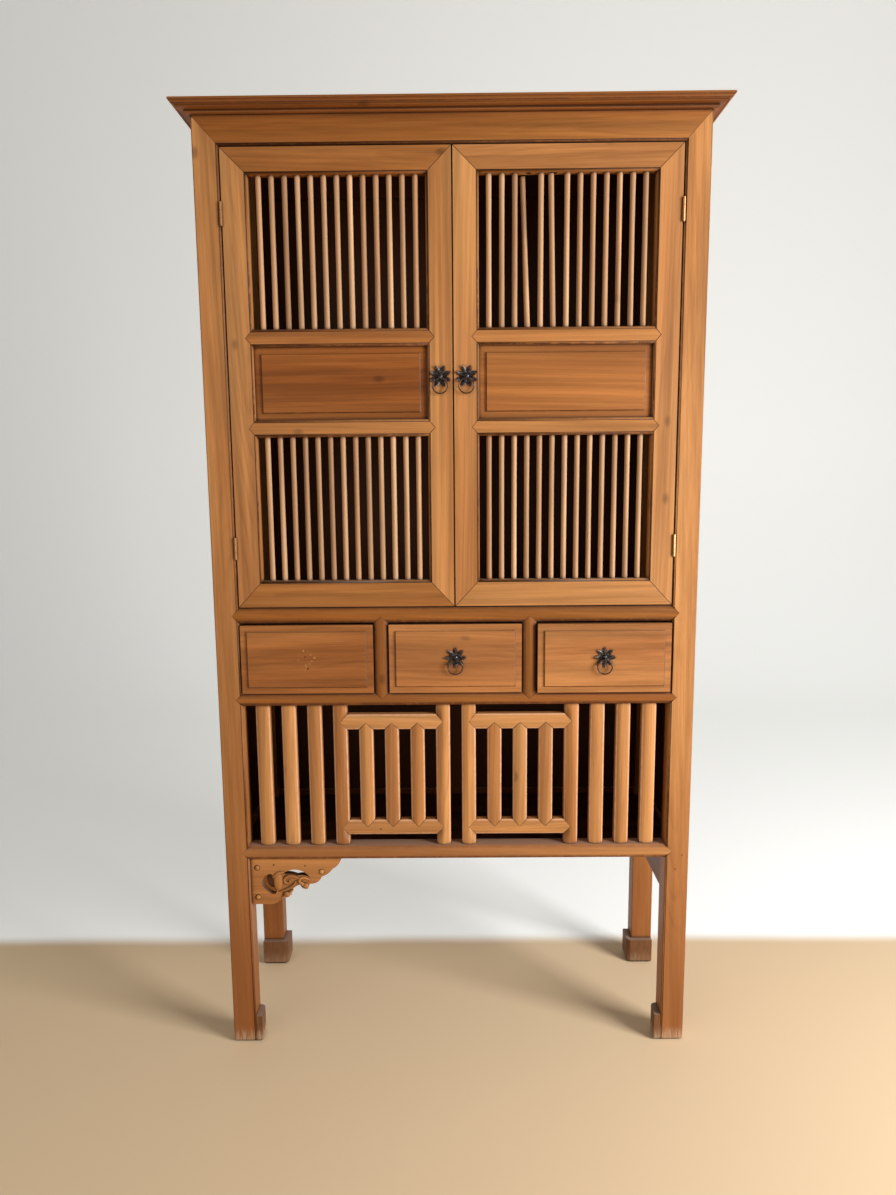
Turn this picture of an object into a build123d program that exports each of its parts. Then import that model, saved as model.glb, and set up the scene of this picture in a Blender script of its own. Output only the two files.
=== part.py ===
"""Chinese book cabinet: post-and-rail case, two slatted doors, three drawers, open lattice below.

Millimetres. Z is up, the front faces -Y, and the origin lies on the floor under the centre of the
bounding box. Everything is placed from the driving dimensions below.
"""

from build123d import *
import os
from math import hypot

os.makedirs("parts", exist_ok=True)

# ---------------------------------------------------------------- case
case_width = 970.0  # over the outer faces of the posts
case_depth = 356.0  # front face to back face of the posts
post_width = 49.0
post_depth = 44.0
post_round = 3.0  # eased outer corner of each post
leg_height = 418.0  # floor to the underside of the lower rails
lower_rail_height = 28.0
lattice_height = 304.0
middle_rail_height = 25.0
drawer_opening_height = 146.0
upper_rail_height = 31.0
door_opening_height = 874.0
frieze_height = 54.0
top_frame_thickness = 20.0
top_frame_width = 70.0
cornice_overhang = 32.0
cornice_lip = 4.0  # square edge at the top of the moulding
cornice_ovolo = (10.0, 7.0)  # width and height of the rounded part under it
cornice_fillet = 1.5
cornice_step = 8.0
cornice_foot = 2.0  # where the hollow ends beside the posts
cornice_foot_rise = 0.5

# ---------------------------------------------------------------- joinery
front_rail_depth = 36.0
side_rail_depth = 24.0
side_rail_inset = 2.0  # side and back rails lie this far inside the posts' outer faces
rail_crown = 4.0  # rise of a front rail's rounded face
side_rail_crown = 3.0
rail_tip = 14.0  # reach of a rail's pointed end into the post
mitre_depth = 10.0  # how deep the pointed ends are let in
tenon_length = 20.0
tenon_thickness = 10.0
tenon_shoulder = 4.0  # a tenon is this much narrower than its rail at each edge
cutter_margin = 5.0  # how far a notch's cutter stands out in front of the face
groove_depth = 6.0  # panels and boards in their grooves
panel_thickness = 8.0
board_clearance = 0.3  # boards notched around the posts
bead_width = 4.5
bead_sink = 1.6
bead_crown = 0.4

# ---------------------------------------------------------------- feet
hoof_height = 60.0
hoof_reach = 13.0  # how far the hoof stands inwards
hoof_round = 12.0
sole_chamfer = 5.0

# ---------------------------------------------------------------- boards
board_thickness = 12.0
lower_floor_drop = 14.0  # lower floor's top face under the top of the lower rail
cupboard_floor_drop = 6.0
shelf_thickness = 16.0
shelf_height = 440.0  # top of the shelf over the cupboard floor
shelf_setback = 24.0  # shelf's front edge behind the doors
bearer_size = 20.0
muntin_width = 60.0
muntin_depth = 18.0
top_panel_thickness = 8.0
top_panel_recess = 4.0

# ---------------------------------------------------------------- doors
door_thickness = 22.0
door_side_gap = 2.0
door_meeting_gap = 2.0
door_end_gap = 2.0  # above and below a door
door_frame_width = 49.0  # stiles and top rail
door_bottom_rail = 53.0
door_mid_rail = 32.0
door_panel_height = 139.0
door_board_thickness = 7.0
lower_grille_height = 284.0
door_tip = 14.0
panel_field_inset = 12.0
panel_field_rise = 3.5
panel_field_setback = 3.0  # raised field behind the face of the frame
field_bevel = 3.0
dowel_radius = 5.3
dowel_flats = 8  # shaved round, so many flats
dowel_count = 13
dowel_setback = 12.0  # dowel's axis behind the face of the frame
socket_depth = 6.0
socket_clearance = 0.05
leaning_end_gap = 1.2  # a loose dowel's free end under the rail
stop_length = 200.0
stop_thickness = 14.0
stop_lap = 12.0  # how far the stop reaches down behind the doors
stop_height = 34.0
stop_clearance = 0.3

# ---------------------------------------------------------------- hinges
hinge_height = 43.0
hinge_end_distance = 119.0  # middle of a hinge from the end of its door
hinge_proud = 1.5  # pin's axis in front of the door's face
knuckle_radius = 3.0
knuckle_flats = 8
knuckle_gap = 0.3
hinge_pin_radius = 1.3
pin_clearance = 0.05
leaf_thickness = 0.8
leaf_width = 20.0
hinge_swing_clearance = 0.3
pin_overhang = 1.0

# ---------------------------------------------------------------- drawers
divider_width = 29.0
divider_depth = 30.0
divider_tip = 12.5
drawer_side_gap = 1.2
drawer_top_gap = 3.5
drawer_bottom_gap = 0.8
drawer_front_thickness = 18.0
drawer_front_proud = 1.0
drawer_field_inset = 12.0
drawer_field_rise = 3.0
drawer_field_bevel = 2.5
drawer_depth = 300.0
drawer_wall = 10.0
drawer_wall_height = 112.0
drawer_lap = 8.0  # drawer sides let into the back of the front
drawer_base = 6.0
drawer_base_rise = 8.0
drawer_base_groove = 5.0
right_drawer_pull_out = 6.0  # the right drawer stands slightly open
runner_width = 22.0
runner_height = 20.0
runner_gap = 0.3
guide_height = 18.0
guide_gap = 0.5

# ---------------------------------------------------------------- lattice
lattice_bar_width = 29.0
lattice_bar_depth = 20.0
lattice_bars = 16
lattice_setback = 8.0
lattice_crown = 4.0
lattice_tenon = 8.0
ladder_rail_width = 32.0
ladder_rail_gap = 22.0  # between a ladder's cross rail and the case rail

# ---------------------------------------------------------------- spandrels and aprons
spandrel_length = 193.0  # along the rail
spandrel_drop = 103.5  # down the post
spandrel_thickness = 14.0
spandrel_setback = 8.0
peg_radius = 5.5
peg_height = 3.0
peg_flats = 12
apron_thickness = 18.0
apron_setback = 22.0  # apron's outer face inside the post's outer face
apron_height = 100.0
apron_end_height = 112.0  # where it comes down the legs
apron_curve = 22.0

# ---------------------------------------------------------------- pulls
rosette_radius = 21.0
rosette_waist = 12.5
rosette_thickness = 1.6
rosette_petals = 8
boss_radius = 6.0
boss_height = 4.5
boss_taper = 2.5  # how much smaller its top is
eye_drop = 4.0  # ring's pivot under the middle of the rosette
eye_stand = 7.0  # and in front of the face
eye_radius = 3.4
eye_hole = 1.8
eye_width = 3.0
eye_flats = 8
ring_radius = 14.5  # centre line of the wire
ring_wire = 1.4
ring_sides = 24  # straight lengths that make up the round
ring_flats = 6  # flats around the wire
door_pull_height = 450.0  # middle of the rosette over the bottom of the door
drawer_pull_rise = 3.0  # over the middle of the drawer front

# ---------------------------------------------------------------- levels and places
lower_rail_z = leg_height
lattice_z = lower_rail_z + lower_rail_height
middle_rail_z = lattice_z + lattice_height
drawer_z = middle_rail_z + middle_rail_height
upper_rail_z = drawer_z + drawer_opening_height
door_opening_z = upper_rail_z + upper_rail_height
frieze_z = door_opening_z + door_opening_height
case_top_z = frieze_z + frieze_height

outer_x = case_width / 2
inner_x = outer_x - post_width
opening_width = 2 * inner_x
front_y = cornice_overhang - (case_depth + cornice_overhang) / 2
back_y = front_y + case_depth
post_back_y = front_y + post_depth  # back face of the front posts
back_post_front_y = back_y - post_depth
side_span = back_post_front_y - post_back_y
side_middle_y = (post_back_y + back_post_front_y) / 2
rail_inner_x = outer_x - side_rail_inset - side_rail_depth
back_rail_front_y = back_y - side_rail_inset - side_rail_depth
panel_setback = side_rail_inset + (side_rail_depth - panel_thickness) / 2

LEFT, RIGHT = -1, 1
FRONT, BACK = -1, 1


def save(name, *pieces):
    """Gather a node's separate pieces, label the node and write its STEP file."""
    node = Compound([solid for piece in pieces for solid in piece.solids()])
    node.label = name
    export_step(node, f"parts/{name}.step")


def face_plane(x, y, z, along, outward):
    """A plane on a piece's show face: x runs along the piece and z points out of the case."""
    return Plane(origin=(x, y, z), x_dir=along, z_dir=outward)


def pointed(span, width, tip):
    """Outline of a bar whose square shoulders end in mitred points."""
    half = span / 2
    edge = width / 2
    return [(-half - tip, 0), (-half, edge), (half, edge), (half + tip, 0), (half, -edge), (-half, -edge)]


def crowned_bar(at, span, width, depth, crown, tip=0.0, tenon=0.0, tenon_width=0.0):
    """A bar with a rounded show face, mitred points let into its neighbours, and hidden tenons."""
    section = Plane(origin=at.origin, x_dir=at.y_dir, z_dir=at.x_dir)
    edge = width / 2
    with BuildPart() as bar:
        with BuildSketch(section):
            with BuildLine():
                body = Polyline((edge, -crown), (edge, -depth), (-edge, -depth), (-edge, -crown))
                if crown:
                    ThreePointArc(body @ 1, (0, 0), body @ 0)
                else:
                    Line(body @ 1, body @ 0)
            make_face()
        extrude(amount=span / 2 + tip, both=True)
        if tip:
            with BuildSketch(at):
                Polygon(*pointed(span, width, tip), align=None)
            extrude(amount=-depth, mode=Mode.INTERSECT)
            with BuildSketch(at.offset(-mitre_depth)):
                with Locations((-span / 2 - tip, 0), (span / 2 + tip, 0)):
                    Rectangle(2 * tip, width)
            extrude(amount=-depth, mode=Mode.SUBTRACT)
        if tenon:
            with BuildSketch(at.offset(-mitre_depth)):
                Rectangle(span + 2 * tenon, tenon_width)
            extrude(amount=-tenon_thickness)
    return bar.part


def bar_socket(at, span, width, tip=0.0, tenon=0.0, tenon_width=0.0):
    """What a pointed and tenoned bar takes away from the pieces at its ends."""
    with BuildPart() as socket:
        if tip:
            with BuildSketch(at.offset(cutter_margin)):
                Polygon(*pointed(span, width, tip), align=None)
            extrude(amount=-(cutter_margin + mitre_depth))
        if tenon:
            with BuildSketch(at.offset(-mitre_depth)):
                Rectangle(span + 2 * tenon, tenon_width)
            extrude(amount=-tenon_thickness)
    return socket.part


def beaded_bar(at, length, width, depth, beads, outline):
    """A flat-faced bar with a sunk bead along the edges in beads (+1, -1), cut to an outline."""
    section = Plane(origin=at.origin, x_dir=at.y_dir, z_dir=at.x_dir)
    edge = width / 2
    with BuildPart() as bar:
        with BuildSketch(section) as profile:
            with Locations((0, -depth / 2)):
                Rectangle(width, depth)
            for side in beads:
                quirk = side * (edge - bead_width)
                crest = side * (edge - bead_width / 2)
                outer_edge = side * edge
                with BuildLine():
                    sides = Polyline(
                        (quirk, -bead_sink), (quirk, 0), (outer_edge, 0), (outer_edge, -bead_sink)
                    )
                    ThreePointArc(sides @ 1, (crest, -bead_crown), sides @ 0)
                make_face(mode=Mode.SUBTRACT)
        extrude(amount=length / 2, both=True)
        with BuildSketch(at):
            Polygon(*outline, align=None)
        extrude(amount=-depth, mode=Mode.INTERSECT)
    return bar.part


def cut(part, *tools):
    """The part with the tools taken away from it."""
    with BuildPart() as result:
        add(part)
        for tool in tools:
            add(tool, mode=Mode.SUBTRACT)
    return result.part


def block(x, y, z):
    """A box between two corners, given as (low, high) along each axis."""
    with BuildPart() as box:
        with Locations(((x[0] + x[1]) / 2, (y[0] + y[1]) / 2, (z[0] + z[1]) / 2)):
            Box(x[1] - x[0], y[1] - y[0], z[1] - z[0])
    return box.part


# ================================================================ front rails
front_rails = {}
front_sockets = []
for rail_name, rail_z, rail_height in (
    ("lower_front_rail", lower_rail_z, lower_rail_height),
    ("middle_front_rail", middle_rail_z, middle_rail_height),
    ("upper_front_rail", upper_rail_z, upper_rail_height),
):
    rail_face = face_plane(0, front_y, rail_z + rail_height / 2, (1, 0, 0), (0, -1, 0))
    tenon_width = rail_height - 2 * tenon_shoulder
    rail_ends = (rail_tip, tenon_length, tenon_width)
    front_rails[rail_name] = crowned_bar(
        rail_face, opening_width, rail_height, front_rail_depth, rail_crown, *rail_ends
    )
    front_sockets.append(bar_socket(rail_face, opening_width, rail_height, *rail_ends))

# The frieze meets the posts in a mitre on the face and a tenon behind it.
frieze_depth = door_thickness + stop_clearance
frieze_face = face_plane(0, front_y, frieze_z + frieze_height / 2, (1, 0, 0), (0, -1, 0))
frieze_outline = [
    (-outer_x, frieze_height / 2),
    (outer_x, frieze_height / 2),
    (inner_x, -frieze_height / 2),
    (-inner_x, -frieze_height / 2),
]
frieze_tenon_width = frieze_height - 4 * tenon_shoulder
with BuildPart() as frieze_rail:
    add(beaded_bar(frieze_face, case_width, frieze_height, frieze_depth, (-1,), frieze_outline))
    with BuildSketch(frieze_face.offset(-mitre_depth)):
        with Locations((-outer_x, 0), (outer_x, 0)):
            Rectangle(2 * post_width, frieze_height)
    extrude(amount=-frieze_depth, mode=Mode.SUBTRACT)
    with BuildSketch(frieze_face.offset(-mitre_depth)):
        Rectangle(opening_width + 2 * tenon_length, frieze_tenon_width)
    extrude(amount=-tenon_thickness)
with BuildPart() as frieze_socket:
    with BuildSketch(frieze_face.offset(cutter_margin)):
        Polygon(*frieze_outline, align=None)
    extrude(amount=-(cutter_margin + mitre_depth))
    with BuildSketch(frieze_face.offset(-mitre_depth)):
        Rectangle(opening_width + 2 * tenon_length, frieze_tenon_width)
    extrude(amount=-tenon_thickness)

# ================================================================ side and back rails
rail_levels = (
    (lower_rail_z, lower_rail_height),
    (middle_rail_z, middle_rail_height),
    (upper_rail_z, upper_rail_height),
    (frieze_z, frieze_height),
)
side_rails = {LEFT: [], RIGHT: []}
side_sockets = {LEFT: [], RIGHT: []}
for side in (LEFT, RIGHT):
    for rail_z, rail_height in rail_levels:
        face_x = side * (outer_x - side_rail_inset)
        rail_face = face_plane(face_x, side_middle_y, rail_z + rail_height / 2, (0, 1, 0), (side, 0, 0))
        is_top = rail_z == frieze_z
        crown = 0.0 if is_top else side_rail_crown
        rail_ends = (0.0 if is_top else rail_tip, tenon_length, rail_height - 2 * tenon_shoulder)
        side_rails[side].append(
            crowned_bar(rail_face, side_span, rail_height, side_rail_depth, crown, *rail_ends)
        )
        side_sockets[side].append(bar_socket(rail_face, side_span, rail_height, *rail_ends))

back_rails = []
back_sockets = []
for rail_z, rail_height in rail_levels:
    rail_face = face_plane(0, back_y - side_rail_inset, rail_z + rail_height / 2, (1, 0, 0), (0, 1, 0))
    tenon_width = rail_height - 2 * tenon_shoulder
    back_rails.append(
        crowned_bar(
            rail_face, opening_width, rail_height, side_rail_depth, 0.0, 0.0, tenon_length, tenon_width
        )
    )
    back_sockets.append(bar_socket(rail_face, opening_width, rail_height, 0.0, tenon_length, tenon_width))

# ================================================================ panels in the sides and the back
panel_zones = (
    (lattice_z, middle_rail_z),
    (drawer_z, upper_rail_z),
    (door_opening_z, frieze_z),
)
side_panels = {LEFT: [], RIGHT: []}
for side in (LEFT, RIGHT):
    panel_x = sorted((side * (outer_x - panel_setback), side * (outer_x - panel_setback - panel_thickness)))
    for low_z, high_z in panel_zones:
        side_panels[side].append(
            block(
                panel_x,
                (post_back_y - groove_depth, back_post_front_y + groove_depth),
                (low_z - groove_depth, high_z + groove_depth),
            )
        )

back_panel_y = (back_y - panel_setback - panel_thickness, back_y - panel_setback)
muntin_y = (back_rail_front_y, back_rail_front_y + muntin_depth)
muntins = []
back_panels = []
for low_z, high_z in panel_zones:
    split_zone = (low_z, high_z) != panel_zones[1]
    if split_zone:
        muntins.append(block((-muntin_width / 2, muntin_width / 2), muntin_y, (low_z, high_z)))
        for side in (LEFT, RIGHT):
            back_panels.append(
                block(
                    sorted((side * (muntin_width / 2 - groove_depth), side * (inner_x + groove_depth))),
                    back_panel_y,
                    (low_z - groove_depth, high_z + groove_depth),
                )
            )
    else:
        back_panels.append(
            block(
                (-inner_x - groove_depth, inner_x + groove_depth),
                back_panel_y,
                (low_z - groove_depth, high_z + groove_depth),
            )
        )
muntins = [cut(muntin, *back_panels) for muntin in muntins]

# ================================================================ boards
def notched_board(low_y, high_y, half_width, low_z, thickness):
    """A board that fills the case between its rails and is cut out around the four posts."""
    with BuildPart() as board:
        with BuildSketch(Plane.XY.offset(low_z)):
            with Locations((0, (low_y + high_y) / 2)):
                Rectangle(2 * half_width, high_y - low_y)
            for x_side in (LEFT, RIGHT):
                notch = (2 * (post_width + board_clearance), 2 * (post_depth + board_clearance))
                with Locations((x_side * outer_x, front_y), (x_side * outer_x, back_y)):
                    Rectangle(*notch, mode=Mode.SUBTRACT)
        extrude(amount=thickness)
    return board.part


rail_back_y = front_y + front_rail_depth
lower_floor_z = lattice_z - lower_floor_drop - board_thickness
cupboard_floor_z = door_opening_z - cupboard_floor_drop - board_thickness
floor_edges = (rail_back_y - groove_depth, back_rail_front_y + groove_depth, rail_inner_x + groove_depth)
lower_floor = notched_board(*floor_edges, lower_floor_z, board_thickness)
cupboard_floor = notched_board(*floor_edges, cupboard_floor_z, board_thickness)
shelf_z = cupboard_floor_z + board_thickness + shelf_height - shelf_thickness
shelf = notched_board(
    front_y + door_thickness + shelf_setback, back_rail_front_y, rail_inner_x, shelf_z, shelf_thickness
)
bearers = [
    block(
        sorted((side * rail_inner_x, side * (rail_inner_x - bearer_size))),
        (post_back_y, back_post_front_y),
        (shelf_z - bearer_size, shelf_z),
    )
    for side in (LEFT, RIGHT)
]

# ================================================================ drawer dividers, runners and guides
drawer_width = (opening_width - 2 * divider_width) / 3
divider_x = (drawer_width + divider_width) / 2
dividers = []
divider_sockets = []
for side in (LEFT, RIGHT):
    divider_face = face_plane(
        side * divider_x, front_y, drawer_z + drawer_opening_height / 2, (0, 0, 1), (0, -1, 0)
    )
    dividers.append(
        crowned_bar(
            divider_face, drawer_opening_height, divider_width, divider_depth, rail_crown, divider_tip
        )
    )
    divider_sockets.append(bar_socket(divider_face, drawer_opening_height, divider_width, divider_tip))

drawer_floor_z = drawer_z + drawer_bottom_gap
runner_top_z = drawer_floor_z - runner_gap
runner_y = (rail_back_y, back_rail_front_y)
runners = []
for side in (LEFT, RIGHT):
    side_low_x, side_high_x = sorted((side * rail_inner_x, side * (inner_x - runner_width)))
    guide_low_x, guide_high_x = sorted((side * rail_inner_x, side * (inner_x - drawer_side_gap + guide_gap)))
    runners.append(block((side_low_x, side_high_x), runner_y, (runner_top_z - runner_height, runner_top_z)))
    guide = block((guide_low_x, guide_high_x), runner_y, (runner_top_z, runner_top_z + guide_height))
    post_notch = notched_board(
        front_y, back_y, outer_x, runner_top_z - runner_height, runner_height + guide_height
    )
    with BuildPart() as side_runner:
        add(runners.pop())
        add(post_notch, mode=Mode.INTERSECT)
    with BuildPart() as side_guide:
        add(guide)
        add(post_notch, mode=Mode.INTERSECT)
    half_divider = divider_width / 2
    middle_runner = block(
        (side * divider_x - half_divider - runner_width, side * divider_x + half_divider + runner_width),
        runner_y,
        (runner_top_z - runner_height, runner_top_z),
    )
    guide_half = half_divider + drawer_side_gap - guide_gap
    middle_guide = block(
        (side * divider_x - guide_half, side * divider_x + guide_half),
        runner_y,
        (runner_top_z, runner_top_z + guide_height),
    )
    runners += [side_runner.part, side_guide.part, middle_runner, middle_guide]

# ================================================================ lattice under the drawers
lattice_face_y = front_y + lattice_setback
lattice_middle_z = lattice_z + lattice_height / 2
lattice_gap = (opening_width - lattice_bars * lattice_bar_width) / (lattice_bars + 1)
lattice_pitch = lattice_bar_width + lattice_gap
bar_x = [(place - (lattice_bars - 1) / 2) * lattice_pitch for place in range(lattice_bars)]
ladder_span = 3 * lattice_pitch + lattice_gap  # clear width of a ladder between its long bars
ladder_x = [side * (lattice_pitch / 2 + 2 * lattice_pitch) for side in (LEFT, RIGHT)]
short_x = [x for x in bar_x if any(abs(x - middle) < ladder_span / 2 for middle in ladder_x)]
long_x = [x for x in bar_x if x not in short_x]
short_span = lattice_height - 2 * (ladder_rail_gap + ladder_rail_width)
lattice_tip = lattice_bar_width / 2
lattice_tenon_width = lattice_bar_width - 2 * tenon_shoulder

cross_rails = []
cross_sockets = []
for middle in ladder_x:
    for side in (-1, 1):
        cross_z = lattice_middle_z + side * (short_span + ladder_rail_width) / 2
        cross_face = face_plane(middle, lattice_face_y, cross_z, (1, 0, 0), (0, -1, 0))
        cross_rails.append(
            crowned_bar(
                cross_face, ladder_span, ladder_rail_width, lattice_bar_depth, lattice_crown, lattice_tip
            )
        )
        cross_sockets.append(bar_socket(cross_face, ladder_span, ladder_rail_width, lattice_tip))

short_bars = []
short_sockets = []
for x in short_x:
    short_face = face_plane(x, lattice_face_y, lattice_middle_z, (0, 0, 1), (0, -1, 0))
    short_bars.append(
        crowned_bar(short_face, short_span, lattice_bar_width, lattice_bar_depth, lattice_crown, lattice_tip)
    )
    short_sockets.append(bar_socket(short_face, short_span, lattice_bar_width, lattice_tip))

long_bars = []
long_sockets = []
for x in long_x:
    long_face = face_plane(x, lattice_face_y, lattice_middle_z, (0, 0, 1), (0, -1, 0))
    long_bar = crowned_bar(
        long_face,
        lattice_height,
        lattice_bar_width,
        lattice_bar_depth,
        lattice_crown,
        tenon=lattice_tenon,
        tenon_width=lattice_tenon_width,
    )
    long_bars.append(cut(long_bar, *cross_sockets))
    long_sockets.append(
        bar_socket(long_face, lattice_height, lattice_bar_width, 0.0, lattice_tenon, lattice_tenon_width)
    )

save("lattice_long_bars", *long_bars)
save("lattice_cross_rails", *[cut(rail, *short_sockets) for rail in cross_rails])
save("lattice_short_bars", *short_bars)

# ================================================================ doors
door_width = inner_x - door_side_gap - door_meeting_gap / 2
door_z = door_opening_z + door_end_gap
door_height = door_opening_height - 2 * door_end_gap
door_middle_x = door_meeting_gap / 2 + door_width / 2
door_inside_width = door_width - 2 * door_frame_width
grille_z = door_z + door_bottom_rail
lower_mid_z = grille_z + lower_grille_height
door_panel_z = lower_mid_z + door_mid_rail
upper_mid_z = door_panel_z + door_panel_height
upper_grille_z = upper_mid_z + door_mid_rail
upper_grille_top = door_z + door_height - door_frame_width
dowel_axis_y = front_y + dowel_setback
dowel_gap = (door_inside_width - 2 * dowel_count * dowel_radius) / (dowel_count + 1)
dowel_pitch = dowel_gap + 2 * dowel_radius
mid_tenon_width = door_mid_rail - 2 * tenon_shoulder - 2 * bead_width

# Loose dowels of the right door's upper grille: place from the left, sideways and backward lean.
loose_dowels = {3: (-9.0, 18.0), 5: (-6.0, 0.0)}


def dowel(foot, top, radius):
    """A round bar between two points."""
    with BuildPart() as rod:
        with BuildSketch(Plane(origin=foot, z_dir=Vector(*top) - Vector(*foot))):
            RegularPolygon(radius, dowel_flats)
        extrude(amount=(Vector(*top) - Vector(*foot)).length)
    return rod.part


def hinge_axis(side):
    """The place of a door's hinge line in plan."""
    return side * (inner_x - door_side_gap / 2), front_y - hinge_proud


hinge_levels = (door_z + hinge_end_distance, door_z + door_height - hinge_end_distance)
knuckle_length = hinge_height / 3


def barrel(x, y, low_z, high_z, radius, hollow=False):
    """A vertical hinge barrel with small flats; a hollow one keeps its radius clear between them."""
    with BuildPart() as rod:
        with BuildSketch(Plane.XY.offset(low_z)):
            with Locations((x, y)):
                RegularPolygon(radius, knuckle_flats, major_radius=not hollow)
        extrude(amount=high_z - low_z)
    return rod.part


def hinge_leaf(side, middle_z, outward, knuckles):
    """One leaf of a butt hinge: a plate against its edge of wood, and its share of the knuckles."""
    x, y = hinge_axis(side)
    plate_x = x + side * outward * door_side_gap / 2
    plate = block(
        sorted((plate_x, plate_x + side * outward * leaf_thickness)),
        (y, y + hinge_proud + leaf_width),
        (middle_z - hinge_height / 2, middle_z + hinge_height / 2),
    )
    with BuildPart() as leaf:
        add(plate)
        for place in (-1, 0, 1):
            low_z = middle_z + place * knuckle_length - knuckle_length / 2
            high_z = low_z + knuckle_length
            if place in knuckles:
                low_end = low_z if place == -1 else low_z + knuckle_gap / 2
                high_end = high_z if place == 1 else high_z - knuckle_gap / 2
                add(barrel(x, y, low_end, high_end, knuckle_radius))
            else:
                low_end = low_z - knuckle_gap / 2
                high_end = high_z + knuckle_gap / 2
                swing = knuckle_radius + hinge_swing_clearance
                add(barrel(x, y, low_end, high_end, swing, hollow=True), mode=Mode.SUBTRACT)
        bore = hinge_pin_radius + pin_clearance
        bore_z = (middle_z - hinge_height, middle_z + hinge_height)
        add(barrel(x, y, *bore_z, bore, hollow=True), mode=Mode.SUBTRACT)
    return leaf.part


frame_leaves = {LEFT: [], RIGHT: []}
door_leaves = {LEFT: [], RIGHT: []}
hinge_pins = []
hinge_notches = {LEFT: [], RIGHT: []}
leaf_recesses = {LEFT: [], RIGHT: []}
for side in (LEFT, RIGHT):
    pin_x, pin_y = hinge_axis(side)
    for level in hinge_levels:
        low_z = level - hinge_height / 2
        high_z = level + hinge_height / 2
        frame_leaves[side].append(hinge_leaf(side, level, 1, (-1, 1)))
        door_leaves[side].append(hinge_leaf(side, level, -1, (0,)))
        hinge_pins.append(barrel(pin_x, pin_y, low_z - pin_overhang, high_z + pin_overhang, hinge_pin_radius))
        swing = knuckle_radius + hinge_swing_clearance
        notch_z = (low_z - hinge_swing_clearance, high_z + hinge_swing_clearance)
        hinge_notches[side].append(barrel(pin_x, pin_y, *notch_z, swing, hollow=True))
        plate_half = door_side_gap / 2 + leaf_thickness
        leaf_y = (front_y, pin_y + hinge_proud + leaf_width)
        leaf_recesses[side].append(block((pin_x - plate_half, pin_x + plate_half), leaf_y, (low_z, high_z)))

save("hinge_frame_leaves", *frame_leaves[LEFT], *frame_leaves[RIGHT])
save("hinge_pins", *hinge_pins)

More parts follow.
